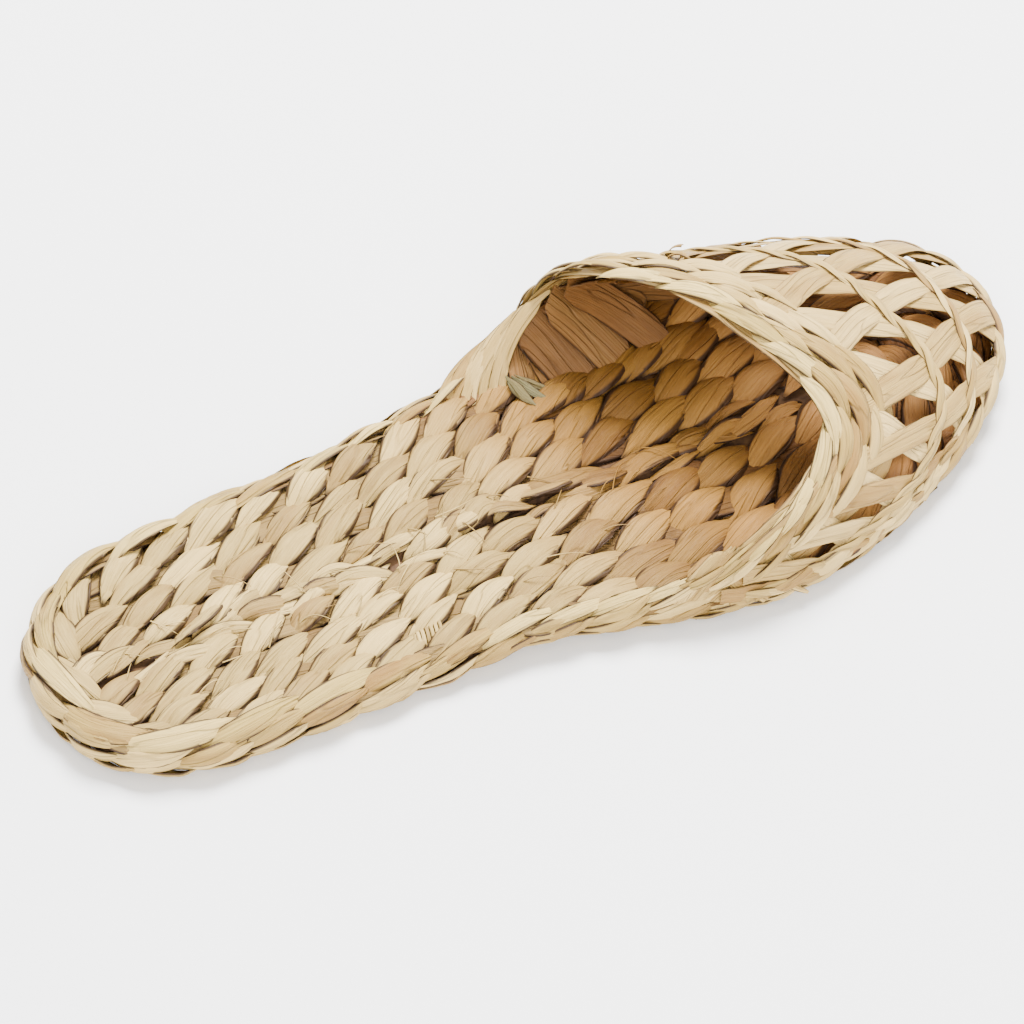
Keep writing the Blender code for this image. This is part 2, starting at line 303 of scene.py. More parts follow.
@dataclass(frozen=True)
class Sole:
    """Surfaces of the sole: its woven top and underside, and the rounded wall between them."""

    last: Last
    outline: Outline
    heel_centre: float = 37.0
    toe_centre: float = 222.0
    footbed_tops: Table = Table((
        (0.0, 9.5), (30.0, 9.5), (100.0, 8.5), (150.0, 8.3), (265.0, 8.1),
    ))
    wall_heights: Table = Table((
        (0.0, 11.6), (35.0, 11.4), (100.0, 9.9), (148.0, 9.5), (178.0, 7.2), (265.0, 7.0),
    ))
    wall_depths: Table = Table((
        (0.0, 6.4), (60.0, 6.0), (140.0, 5.4), (172.0, 5.0), (265.0, 5.0),
    ))

    def middle(self, run: Array) -> Array:
        """Points of the middle line that the rows close round."""
        station = np.clip(self.outline.at(run)[:, 0], self.heel_centre, self.toe_centre)
        return np.stack((station, self.last.centre(station)), axis=1)

    def ring(self, run: Array, share: Array) -> Array:
        """Points part of the way from the middle line (0) to the edge (1)."""
        inner = self.middle(run)
        return inner + (self.outline.at(run) - inner) * np.asarray(share).reshape(-1, 1)

    def reach(self, run: Array) -> Array:
        """Distance from the middle line to the edge."""
        return np.linalg.norm(self.outline.at(run) - self.middle(run), axis=1)

    def wall(self, run: Array, angle: Array) -> tuple[Array, Array]:
        """Wall points and outward directions.

        Args:
            run: Distances along the outline.
            angle: Degrees up (+) or down (-) from straight out.

        Returns:
            Points in the shoe's sizes and unit normals.
        """
        turn = np.radians(angle) * np.ones_like(run)
        edge = self.outline.at(run)
        into = self.outline.inward(run)
        half = 0.5 * self.wall_heights.at(edge[:, 0])
        depth = self.wall_depths.at(edge[:, 0])
        flat = edge + into * (depth * (1.0 - np.cos(turn)))[:, None]
        points = np.column_stack((flat, half * (1.0 + np.sin(turn))))
        out = -into * (half * np.cos(turn))[:, None]
        return points, unit(np.column_stack((out, depth * np.sin(turn))))


@dataclass
class Cover:
    """The toe cover's surface in weaver's terms: cell across (from the right), row down.

    Rows run from -1 at the collar through 0 where the lattice opens, 1 and 2 at the weft
    cords, to 3 at the base.
    """

    last: Last
    base_height: float = 6.55
    dome_height: float = 45.2
    profile_power: float = 1.5
    dome_lean: float = 0.08
    cells: int = 12
    across_end: float = 0.93
    farthest: float = 0.975
    past_slope: float = 0.8
    flank_end: float = 0.985
    weft_shares: Table = Table((
        (-1.0, 0.86, 0.97), (-0.6, 0.73, 0.92), (-0.5, 0.60, 0.86), (-0.4, 0.53, 0.79),
        (-0.3, 0.46, 0.73), (-0.1, 0.39, 0.70), (0.0, 0.38, 0.70), (1.0, 0.38, 0.70),
    ))
    crown_reach: float = 40.0
    closest: float = 0.36
    sag: float = 3.0
    sag_power: float = 0.7
    sag_across: float = 0.5
    sag_reach: float = 0.32
    dive: float = 10.0
    collar_tilts: Table = Table((
        (-1.0, 40.0), (-0.5, 27.0), (0.0, 43.0), (0.5, 66.0), (1.0, 66.0),
    ))
    band_widths: Table = Table((
        (-0.95, 6.2), (-0.5, 17.0), (0.0, 17.8), (0.5, 16.0), (0.95, 7.4),
    ))

    def __post_init__(self) -> None:
        """Works out where the band ends and how the cells are spaced."""
        self._marks = np.linspace(-self.flank_end, self.flank_end, 395)
        shares = np.linspace(0.0, 1.0, 240)
        grid_share, grid_across = np.meshgrid(shares, self._marks, indexing="ij")
        points = self.shell(grid_share.ravel(), grid_across.ravel())
        points = points.reshape(len(shares), len(self._marks), 3)
        widths = self.band_widths.at(self._marks)
        self._band = np.array([
            np.interp(widths[k], walked(points[:, k]), shares) for k in range(len(self._marks))
        ])
        inside = np.linspace(-self.across_end, self.across_end, 241)
        spots = self.shell(self.share(np.ones_like(inside), inside), inside)
        self._run = walked(spots)
        self._inside = inside

    def dome(self, tilt: Array, across: Array) -> Array:
        """Surface points by tilt above the base plane and place across (-1 right to +1 left).

        Args:
            tilt: Radians above the base plane.
            across: Places from -1 (right) to +1 (left).

        Returns:
            Points in the shoe's sizes.
        """
        turn = 0.5 * math.pi * across
        bend = 2.0 / self.last.toe_power
        sideways = np.copysign(np.abs(np.sin(turn)) ** bend, across)
        reach = np.abs(np.cos(turn)) ** bend
        flat = np.cos(tilt) / (self.last.length - self.last.toe_start)
        rise = np.sin(tilt) / self.dome_height
        power = self.profile_power
        radius = (flat ** power + rise ** power) ** (-1.0 / power)
        station = self.last.toe_start + radius * reach * np.cos(tilt)
        up = radius * reach * np.sin(tilt)
        wide = self.last.half_width(station, across) * sideways
        left = wide + self.dome_lean * up + self.last.lean(station)
        return np.stack((station, left, self.base_height + up), axis=-1)

    def shell(self, share: Array, across: Array) -> Array:
        """Surface points by share of the way from the collar (0) to the base (1).

        Args:
            share: Shares of the way down.
            across: Places across.

        Returns:
            Points in the shoe's sizes.
        """
        tilt = np.radians(self.collar_tilts.at(across)) * (1.0 - share)
        points = self.dome(np.maximum(tilt, 0.0), across)
        near = np.exp(-((across - self.sag_across) / self.sag_reach) ** 2)
        hollow = np.sin(math.pi * np.clip(share, 0.0, 1.0)) ** self.sag_power
        points[..., 2] -= self.sag * near * hollow
        return points

    def normal(self, share: Array, across: Array) -> Array:
        """Outward unit normals of the surface.

        Args:
            share: Shares of the way down.
            across: Places across.

        Returns:
            Unit normals.
        """
        step, last_place = 0.004, 0.995
        share = np.clip(share, step, 1.0)
        up = self.shell(share - step, across) - self.shell(share, across)
        beyond = np.minimum(across + step, last_place)
        side = self.shell(share, beyond) - self.shell(share, across - step)
        return unit(np.cross(side, up))

    def across(self, cell: Array) -> Array:
        """Place across for a cell number, which may run a little past both ends.

        Args:
            cell: Cell numbers from the right.

        Returns:
            Places across.
        """
        share = np.asarray(cell, float) / self.cells
        inner = np.interp(share, self._run / self._run[-1], self._inside)
        past = np.where(share < 0.0, share, np.where(share > 1.0, share - 1.0, 0.0))
        return np.clip(inner + self.past_slope * past, -self.farthest, self.farthest)

    def share(self, row: Array, across: Array) -> Array:
        """Share of the way down for a row number.

        Args:
            row: Row numbers.
            across: Places across.

        Returns:
            Shares of the way down.
        """
        band = np.interp(across, self._marks, self._band)
        one = band + (1.0 - band) * self.weft_shares.at(across, 1)
        two = band + (1.0 - band) * self.weft_shares.at(across, 2)
        down = np.where(row < 0.0, band * (1.0 + row), band + (one - band) * row)
        down = np.where(row > 1.0, one + (two - one) * (row - 1.0), down)
        return np.where(row > 2.0, two + (1.0 - two) * (row - 2.0), down)

    def closeness(self, across: Array) -> Array:
        """How closely the lattice is packed there: 1 at the crown, less down the flanks.

        Args:
            across: Places across.

        Returns:
            A share for each place.
        """
        low = self.shell(np.ones(len(across)), across)
        high = self.shell(self.share(np.zeros(len(across)), across), across)
        reach = np.linalg.norm(low - high, axis=1)
        return np.sqrt(np.clip(reach / self.crown_reach, self.closest, 1.0))

    def at(self, row: Array, across: Array, height: Array) -> tuple[Array, Array]:
        """Points a height off the surface, and their outward directions.

        Args:
            row: Row numbers from -1 to 3; past 3 the strand dives behind the base row.
            across: Places across from -1 (right) to +1 (left).
            height: Millimetres off the surface.

        Returns:
            Points in the shoe's sizes and unit normals.
        """
        row = np.asarray(row, float)
        across = np.asarray(across, float) * np.ones_like(row)
        share = np.minimum(self.share(row, across), 1.0)
        normals = self.normal(share, across)
        points = self.shell(share, across) + normals * (height * np.ones_like(row))[:, None]
        points[:, 2] -= self.dive * np.maximum(row - 3.0, 0.0)
        return points, normals


class Row:
    """A woven row's line, measured by distance: points, outward directions and width."""

    step: float = 1.5
    fewest: int = 8

    def __init__(self, points: Array, normals: Array, widths: Array, closed: bool = False) -> None:
        """Resamples the line evenly.

        Args:
            points: Points in the shoe's sizes.
            normals: Outward directions.
            widths: Width of the row at each point.
            closed: Whether the last point runs on into the first.
        """
        values = np.column_stack((points, normals, widths))
        if closed:
            values = np.concatenate((values, values[:1]))
        run = walked(values[:, :3])
        self.closed = closed
        self.length = float(run[-1])
        self._run = np.linspace(0.0, self.length, max(int(self.length / self.step), self.fewest))
        self._values = self._between(self._run, run, values)

    @staticmethod
    def _between(where: Array, run: Array, values: Array) -> Array:
        """Rows of values found between known distances."""
        return np.stack([np.interp(where, run, column) for column in values.T], axis=1)

    def _read(self, run: Array) -> Array:
        """Points, directions and widths at distances along the line."""
        run = np.mod(run, self.length) if self.closed else np.clip(run, 0.0, self.length)
        return self._between(run, self._run, self._values)

    def width(self, run: float) -> float:
        """Width of the row at a distance."""
        return float(self._read(np.array([run]))[0, 6])

    def at(self, run: Array, sideways: Array, height: Array) -> tuple[Array, Array]:
        """Points beside and above the line, and the outward directions there.

        Args:
            run: Distances along the line.
            sideways: Millimetres to the left of the way along, seen from outside.
            height: Millimetres off the surface.

        Returns:
            Points in the shoe's sizes and unit normals.
        """
        here = self._read(run)
        facing = unit(here[:, 3:6])
        ahead = unit(self._read(run + 1.0)[:, :3] - self._read(run - 1.0)[:, :3])
        left = unit(np.cross(facing, ahead))
        aside = left * np.asarray(sideways)[:, None] + facing * np.asarray(height)[:, None]
        return here[:, :3] + aside, facing

    def eased(self, zone: Range, passes: int) -> "Row":
        """The same row with its turns eased between two stations.

        Args:
            zone: Stations between which the line may move.
            passes: How many times it is averaged with its neighbours.

        Returns:
            The eased row.
        """
        values = self._values[:-1] if self.closed else self._values
        values = values.copy()
        loose = (values[:, 0] > zone[0]) & (values[:, 0] < zone[1])
        if not self.closed:
            loose[[0, -1]] = False
        for _ in range(passes):
            near = 0.5 * (np.roll(values, 1, axis=0) + np.roll(values, -1, axis=0))
            values[loose] = 0.5 * (values[loose] + near[loose])
        return Row(values[:, :3], unit(values[:, 3:6]), values[:, 6], self.closed)


class Strands:
    """A bundle of strand paths with what the sweep and the finish need to know of each."""

    def __init__(self, last: Last, seed: int, belly: float = 0.5) -> None:
        """Starts an empty bundle with its own fixed seed.

        Args:
            last: The shoe's plan.
            seed: Seed of the bundle's small differences.
            belly: How far the section bulges, as a share of its half width.
        """
        self.last = last
        self.belly = belly
        self.random = np.random.default_rng(seed)
        self._points: list[Array] = []
        self._faces: list[Array] = []
        self._girths: list[Array] = []
        self._alongs: list[Array] = []
        self._tints: list[Array] = []
        self._sunks: list[Array] = []

    def grounded(self, points: Array, normals: Array, girths: Array) -> Array:
        """The same path, lifted where the strand would lie below the ground.

        Args:
            points: Path of the strand.
            normals: Directions that its flat faces.
            girths: Half widths.

        Returns:
            The lifted path.
        """
        upright = np.minimum(np.abs(normals[:, 2]), 1.0)
        lowest = girths * (np.sqrt(1.0 - upright * upright) + self.belly * upright)
        return np.column_stack((points[:, :2], np.maximum(points[:, 2], lowest)))

    def add(self, points: Array, normals: Array, girths: Array, sunk: Array | float = 0.0,
            tint: float | None = None) -> None:
        """Adds one strand.

        Args:
            points: Path in the shoe's sizes.
            normals: Directions that the flat of the leaf faces.
            girths: Half widths in millimetres.
            sunk: How deep it lies under its neighbours, from 0 to 1; the finish paints shade by it.
            tint: Colour number from 0 to 1, drawn from the seed where it is left out.
        """
        drawn = self.random.random()
        self._points.append(self.last.world(self.grounded(points, normals, girths)))
        self._faces.append(normals)
        self._girths.append(girths * MM)
        self._alongs.append(walked(points))
        self._tints.append(np.full(len(points), drawn if tint is None else tint))
        self._sunks.append(sunk * np.ones(len(points)))

    def paths(self, name: str) -> Piece:
        """Mesh of edges that carries the paths and their attributes.

        Args:
            name: Name of the piece.

        Returns:
            The piece, edges only.
        """
        edges = []
        start = 0
        for points in self._points:
            edges.extend((start + i, start + i + 1) for i in range(len(points) - 1))
            start += len(points)
        mesh = bpy.data.meshes.new(name)
        mesh.from_pydata(np.concatenate(self._points).tolist(), edges, [])
        face = mesh.attributes.new("face", "FLOAT_VECTOR", "POINT")
        face.data.foreach_set("vector", np.concatenate(self._faces).ravel())
        for label, parts in (("girth", self._girths), ("along", self._alongs),
                             ("tint", self._tints), ("sunk", self._sunks)):
            values = mesh.attributes.new(label, "FLOAT", "POINT")
            values.data.foreach_set("value", np.concatenate(parts))
        return placed(name, mesh)


class Tree:
    """Adds nodes to one shader or geometry tree."""

    def __init__(self, tree: bpy.types.NodeTree) -> None:
        """Keeps the tree that nodes go into."""
        self.tree = tree

    def add(self, kind: str, settings: dict | None = None,
            inputs: dict | None = None) -> bpy.types.Node:
        """Adds a node.

        Args:
            kind: The node's type.
            settings: Properties set first; "stops" fills a colour ramp.
            inputs: Values or links by the socket's name or number.

        Returns:
            The new node.
        """
        node = self.tree.nodes.new(kind)
        for name, value in (settings or {}).items():
            if name == "stops":
                self._fill_ramp(node, value)
            else:
                setattr(node, name, value)
        for key, value in (inputs or {}).items():
            self.feed(node.inputs[key], value)
        return node

    def feed(self, socket: Socket, value: object) -> None:
        """Links a socket or a wrapped value, or sets a plain one.

        Args:
            socket: Socket to fill.
            value: Link, wrapped value or plain value.
        """
        if isinstance(value, Value):
            value = value.socket
        if isinstance(value, Socket):
            self.tree.links.new(value, socket)
        else:
            socket.default_value = value

    def value(self, kind: str, settings: dict | None = None, inputs: dict | None = None,
              output: str | int = 0) -> "Value":
        """Adds a node and wraps one of its outputs, so that sums can be written with it."""
        return Value(self, self.add(kind, settings, inputs).outputs[output])

    @staticmethod
    def _fill_ramp(node: bpy.types.Node, stops: tuple) -> None:
        """Places a ramp's colours.

        Args:
            node: The ramp.
            stops: Place and colour of each stop.
        """
        ramp = node.color_ramp
        while len(ramp.elements) < len(stops):
            ramp.elements.new(0.5)
        for element, (position, colour) in zip(ramp.elements, stops):
            element.position = position
            element.color = colour


class Value:
    """A number in a node tree: sums written with it add Math nodes."""

    def __init__(self, tree: Tree, socket: Socket) -> None:
        """Wraps a socket."""
        self.tree = tree
        self.socket = socket

    def math(self, operation: str, *terms: object) -> "Value":
        """Result of a Math node on these terms."""
        inputs = dict(enumerate(terms))
        return self.tree.value("ShaderNodeMath", {"operation": operation}, inputs)

    def __add__(self, other: object) -> "Value":
        """Sum."""
        return self.math("ADD", self, other)

    def __radd__(self, other: object) -> "Value":
        """Sum with a number first."""
        return self.math("ADD", other, self)

    def __sub__(self, other: object) -> "Value":
        """Difference."""
        return self.math("SUBTRACT", self, other)

    def __rsub__(self, other: object) -> "Value":
        """Difference with a number first."""
        return self.math("SUBTRACT", other, self)

    def __mul__(self, other: object) -> "Value":
        """Product."""
        return self.math("MULTIPLY", self, other)

    def __rmul__(self, other: object) -> "Value":
        """Product with a number first."""
        return self.math("MULTIPLY", other, self)

    def __pow__(self, other: object) -> "Value":
        """Power."""
        return self.math("POWER", self, other)

    def size(self) -> "Value":
        """Size without its sign."""
        return self.math("ABSOLUTE", self)

    def span(self, low: float, high: float) -> "Value":
        """Smooth step from 0 at `low` to 1 at `high`.

        Args:
            low: Where the step starts.
            high: Where it ends.

        Returns:
            The step.
        """
        settings = {"interpolation_type": "SMOOTHSTEP"}
        inputs = {"Value": self, "From Min": low, "From Max": high}
        return self.tree.value("ShaderNodeMapRange", settings, inputs)


class Section(Enum):
    """Cross-sections of a strand: thickness and crown as shares of its half width."""

    FLAT = (0.07, 0.08)
    LEAF = (0.10, 0.20)
    FULL = (0.18, 0.33)
    CORD = (0.72, 0.0)


class StrandSweep:
    """Geometry Nodes tree that sweeps a leaf section along every path of a mesh.

    The creases are bands of a noise that runs with the strand: how fast it changes along it,
    across it and from strand to strand, and how wide its bands are.
    """

    crease_along: float = 0.035
    crease_across: float = 330.0
    crease_shift: float = 91.0
    crease_width: float = 0.09

    def __init__(self) -> None:
        """Builds the tree once; every bundle shares it."""
        self.group = bpy.data.node_groups.new("strand_sweep", "GeometryNodeTree")
        face = self.group.interface
        face.new_socket("Geometry", in_out="INPUT", socket_type="NodeSocketGeometry")
        self.sockets = {
            name: face.new_socket(name, in_out="INPUT", socket_type=kind).identifier
            for name, kind in (
                ("Thickness", "NodeSocketFloat"), ("Crown", "NodeSocketFloat"),
                ("Sides", "NodeSocketInt"), ("Wrinkle", "NodeSocketFloat"),
                ("Straw", "NodeSocketMaterial"),
            )
        }
        face.new_socket("Geometry", in_out="OUTPUT", socket_type="NodeSocketGeometry")
        self._build(Tree(self.group))

    def _build(self, tree: Tree) -> None:
        """Adds the tree's nodes.

        Args:
            tree: The empty tree.
        """
        inlet = tree.add("NodeGroupInput").outputs
        thickness = Value(tree, inlet["Thickness"])
        crown = Value(tree, inlet["Crown"])
        profile = self._section(tree, inlet["Sides"], thickness, crown)
        line = tree.add("GeometryNodeMeshToCurve", inputs={"Mesh": inlet["Geometry"]})
        facing = self._named(tree, "face", "FLOAT_VECTOR")
        turned = tree.add("GeometryNodeSetCurveNormal", {"mode": "FREE"},
                          {"Curve": line.outputs[0], "Normal": facing})
        girth = self._named(tree, "girth", "FLOAT")
        swept = tree.add("GeometryNodeCurveToMesh", None, {
            "Curve": turned.outputs[0], "Profile Curve": profile,
            "Scale": girth, "Fill Caps": True,
        })
        moved = self._wrinkled(tree, swept.outputs[0], inlet["Wrinkle"])
        smooth = tree.add("GeometryNodeSetShadeSmooth", None, {"Geometry": moved})
        real = tree.add("GeometryNodeRealizeInstances", None, {"Geometry": smooth.outputs[0]})
        dressed = tree.add("GeometryNodeSetMaterial", None,
                           {"Geometry": real.outputs[0], "Material": inlet["Straw"]})
        outlet = tree.add("NodeGroupOutput")
        tree.feed(outlet.inputs["Geometry"], dressed.outputs[0])

    @staticmethod
    def _named(tree: Tree, name: str, kind: str) -> Socket:
        """Reads a named attribute."""
        node = tree.add("GeometryNodeInputNamedAttribute", {"data_type": kind}, {"Name": name})
        return node.outputs["Attribute"]

    @staticmethod
    def _section(tree: Tree, sides: Socket, thickness: Value,
                 crown: Value) -> Socket:
        """Leaf section: a flattened ring, domed by its crown, that knows its place across.

        Args:
            tree: Tree that takes the nodes.
            sides: Points round the section.
            thickness: Thickness as a share of the half width.
            crown: Height of the dome as the same share.

        Returns:
            The section's curve.
        """
        ring = tree.add("GeometryNodeCurvePrimitiveCircle", None,
                        {"Resolution": sides, "Radius": 1.0})
        spot = tree.add("ShaderNodeSeparateXYZ", None,
                        {0: tree.add("GeometryNodeInputPosition").outputs[0]})
        out = Value(tree, spot.outputs["X"])
        across = Value(tree, spot.outputs["Y"])
        domed = out * thickness + crown * (1.0 - (across * across) ** 2.0)
        place = tree.add("ShaderNodeCombineXYZ", None, {"X": domed, "Y": across, "Z": 0.0})
        kept = tree.add("GeometryNodeStoreNamedAttribute",
                        {"data_type": "FLOAT", "domain": "POINT"},
                        {"Geometry": ring.outputs[0], "Name": "around", "Value": across})
        shaped = tree.add("GeometryNodeSetPosition", None,
                          {"Geometry": kept.outputs[0], "Position": place.outputs[0]})
        return shaped.outputs[0]

    def _wrinkled(self, tree: Tree, geometry: Socket,
                  depth: Socket) -> Socket:
        """Presses sharp creases along each strand, as a dried leaf has.

        Args:
            tree: Tree that takes the nodes.
            geometry: The swept strands.
            depth: Depth of the creases in metres.

        Returns:
            The creased strands.
        """
        along, around, girth, tint = (Value(tree, self._named(tree, name, "FLOAT"))
                                      for name in ("along", "around", "girth", "tint"))
        where = tree.add("ShaderNodeCombineXYZ", None, {
            "X": along * self.crease_along,
            "Y": around * (girth * self.crease_across),
            "Z": tint * self.crease_shift,
        })
        noise = tree.value("ShaderNodeTexNoise", None, {
            "Vector": where.outputs[0], "Scale": 1.0, "Detail": 1.0, "Roughness": 0.5,
        })
        crease = (noise - 0.5).size().span(0.0, self.crease_width) - 1.0
        height = crease * Value(tree, depth)
        lift = tree.add("ShaderNodeVectorMath", {"operation": "SCALE"}, {
            "Vector": tree.add("GeometryNodeInputNormal").outputs[0], "Scale": height,
        })
        moved = tree.add("GeometryNodeSetPosition", None,
                         {"Geometry": geometry, "Offset": lift.outputs[0]})
        return moved.outputs[0]

    def run(self, name: str, strands: Strands, section: Section, straw: bpy.types.Material,
            sides: int = 12, wrinkle: float = 0.5) -> Piece:
        """Turns a bundle of paths into a finished mesh.

        Args:
            name: Name of the piece.
            strands: The paths.
            section: Cross-section of every strand.
            straw: Finish.
            sides: Points round the section.
            wrinkle: Height of the leaf's ridges in millimetres.

        Returns:
            The piece, a plain mesh at the origin.
        """
        piece = strands.paths(name)
        sweep = piece.modifiers.new("sweep", "NODES")
        sweep.node_group = self.group
        thickness, crown = section.value
        for label, value in (("Thickness", thickness), ("Crown", crown), ("Sides", sides),
                             ("Wrinkle", wrinkle * MM), ("Straw", straw)):
            sweep[self.sockets[label]] = value
        bpy.context.view_layer.update()
        graph = bpy.context.evaluated_depsgraph_get()
        mesh = bpy.data.meshes.new_from_object(piece.evaluated_get(graph))
        piece.modifiers.clear()
        old = piece.data
        piece.data = mesh
        bpy.data.meshes.remove(old)
        mesh.name = name
        return piece


@dataclass(frozen=True)
class Grain:
    """A noise that runs with the strand: its changes along, across and from strand to strand."""

    along: float
    across: float
    shift: float
    detail: float


@dataclass(frozen=True)
class Straw:
    """Dried leaf: pale to tan from strand to strand, with fibres and creases that run along it.

    Its edges from `margin` outward and its tucked ends are darkened towards `crevice_shade`:
    painted shade where leaves meet and tuck under each other, with a little of the leaf's own
    darker edge.  With
    `painted_toe_shade` it takes painted shade under the toe cover, lighter and redder towards the
    toe's tip with `painted_tip_shade`.
    """

    name: str
    pale: Colour
    warm: Colour
    deep: Colour
    # Painted shade: the dark colour that edges and tucked ends are mixed towards.
    crevice_shade: Colour = (0.03, 0.012, 0.004)
    warm_stop: float = 0.55
    tint_part: float = 0.85
    patch_part: float = 0.7
    palest: float = 0.33
    fibres: Grain = Grain(0.04, 1.9, 61.0, 4.0)
    patches: Grain = Grain(0.06, 0.35, 37.0, 2.0)
    veins: Grain = Grain(0.03, 0.26, 83.0, 1.0)
    vein_width: float = 0.03
    fibre: float = 0.24
    # How dark the crease lines are painted: painted shade in the folds.
    crease: float = 0.22
    rough: float = 0.55
    rough_swing: float = 0.3
    relief: float = 0.0008
    fold_relief: float = 0.5
    gloss: float = 0.25
    margin: float = 0.6
    margin_blur: float = 0.26
    # How strongly edges and tucked ends take the painted shade, and how deep it starts.
    edge_painted_shade: float = 0.95
    end_painted_shade: float = 0.8
    end_start: float = 0.3
    # Painted shade under the toe cover, with a lighter, redder painted shade towards the tip.
    painted_toe_shade: Colour | None = None
    painted_tip_shade: Colour = (0.72, 0.475, 0.36)
    shade_zone: Range = (-0.036, 0.03)
    shade_slant: float = 0.3
    shade_power: float = 1.3
    tip_zone: Range = (0.036, 0.09)

    def material(self) -> bpy.types.Material:
        """Builds the material's nodes.

        Returns:
            The material.
        """
        made = bpy.data.materials.new(self.name)
        made.use_nodes = True
        tree = Tree(made.node_tree)
        shader = made.node_tree.nodes["Principled BSDF"]
        along, around, tint, girth = (self._read(tree, name)
                                      for name in ("along", "around", "tint", "girth"))
        across = around * (girth * (1.0 / MM))
        fibres, patches, veins = (
            tree.value("ShaderNodeTexNoise", None, {
                "Vector": tree.add("ShaderNodeCombineXYZ", None, {
                    "X": along * grain.along, "Y": across * grain.across, "Z": tint * grain.shift,
                }).outputs[0],
                "Scale": 1.0, "Detail": grain.detail, "Roughness": 0.6,
            }) for grain in (self.fibres, self.patches, self.veins)
        )
        fold = 1.0 - (veins - 0.5).size().span(0.0, self.vein_width)
        stops = ((0.0, self.pale), (self.warm_stop, self.warm), (1.0, self.deep))
        hue = tree.add("ShaderNodeValToRGB",
                       {"stops": tuple((place, (*colour, 1.0)) for place, colour in stops)},
                       {"Fac": tint * self.tint_part + patches * self.patch_part - self.palest})
        shade = 1.0 - self.fibre + fibres * (2.0 * self.fibre)
        # Painted shade along the crease lines.
        total = shade * (1.0 - fold * self.crease)
        coloured = tree.add("ShaderNodeVectorMath", {"operation": "SCALE"},
                            {0: hue.outputs[0], "Scale": total}).outputs[0]
        # Painted shade under the toe cover.
        if self.painted_toe_shade:
            coloured = self._shaded(tree, coloured)
        # Painted shade at the leaf's edges and tucked ends.
        crevice_shaded = tree.add("ShaderNodeMix", {"data_type": "RGBA"}, {
            0: self._crevice_shading(tree, around), 6: coloured, 7: (*self.crevice_shade, 1.0),
        })
        tree.feed(shader.inputs["Base Color"], crevice_shaded.outputs[2])
        tree.feed(shader.inputs["Roughness"], self.rough + (fibres - 0.5) * self.rough_swing)
        bump = tree.add("ShaderNodeBump", None, {
            "Strength": 0.9, "Distance": self.relief, "Height": fibres - fold * self.fold_relief,
        })
        tree.feed(shader.inputs["Normal"], bump.outputs[0])
        shader.inputs["Specular IOR Level"].default_value = self.gloss
        return made

    def _crevice_shading(self, tree: Tree, around: Value) -> Value:
        """Share of painted shade at the leaf's edges and its tucked ends.

        Args:
            tree: Tree that takes the nodes.
            around: Place across the leaf.

        Returns:
            A share from 0 to 1.
        """
        edge = (around * around).span(self.margin, self.margin + self.margin_blur)
        ends = self._read(tree, "sunk").span(self.end_start, 1.0)
        return 1.0 - (1.0 - edge * self.edge_painted_shade) * (1.0 - ends * self.end_painted_shade)

    def _shaded(self, tree: Tree, coloured: Socket) -> Socket:
        """Paints shade on the leaf under the toe cover, lighter and redder towards the toe's tip.

        Args:
            tree: Tree that takes the nodes.
            coloured: The leaf's own colour.

        Returns:
            The shaded colour.
        """
        spot = tree.add("ShaderNodeSeparateXYZ", None,
                        {0: tree.add("ShaderNodeTexCoord").outputs["Object"]})
        forward = Value(tree, spot.outputs["X"])
        ahead = forward + Value(tree, spot.outputs["Y"]) * self.shade_slant
        toe, tip = (tree.add("ShaderNodeVectorMath", {"operation": "MULTIPLY"},
                             {0: coloured, 1: shade}).outputs[0]
                    for shade in (self.painted_toe_shade, self.painted_tip_shade))
        # Painted shade, lighter and redder towards the toe's tip under the lattice.
        under_cover_shade = tree.add("ShaderNodeMix", {"data_type": "RGBA"},
                         {0: forward.span(*self.tip_zone), 6: toe, 7: tip})
        mixed = tree.add("ShaderNodeMix", {"data_type": "RGBA"}, {
            0: ahead.span(*self.shade_zone) ** self.shade_power,
            6: coloured, 7: under_cover_shade.outputs[2],
        })
        return mixed.outputs[2]

    @staticmethod
    def _read(tree: Tree, name: str) -> Value:
        """Reads a number that the strands carry."""
        settings = {"attribute_name": name, "attribute_type": "GEOMETRY"}
        return tree.value("ShaderNodeAttribute", settings, None, "Fac")


@dataclass(frozen=True)
class Pith:
    """Stalk packing that shows only in the gaps, coloured near black: painted shade of the gaps
    over the packing's own dark colour.
    """

    # Near-black colours: painted shade of the gaps over the packing's own dark colour.
    dark: Colour = (0.05, 0.02, 0.006)
    light: Colour = (0.13, 0.06, 0.018)
    grain: float = 420.0
    rough: float = 0.85

    def material(self) -> bpy.types.Material:
        """Builds the material's nodes.

        Returns:
            The material.
        """
        made = bpy.data.materials.new("stalk_packing")
        made.use_nodes = True
        tree = Tree(made.node_tree)
        shader = made.node_tree.nodes["Principled BSDF"]
        where = tree.add("ShaderNodeTexCoord").outputs["Object"]
        noise = tree.value("ShaderNodeTexNoise", None,
                           {"Vector": where, "Scale": self.grain, "Detail": 3.0})
        hue = tree.add("ShaderNodeValToRGB",
                       {"stops": ((0.3, (*self.dark, 1.0)), (0.7, (*self.light, 1.0)))},
                       {"Fac": noise})
        tree.feed(shader.inputs["Base Color"], hue.outputs[0])
        shader.inputs["Roughness"].default_value = self.rough
        return made


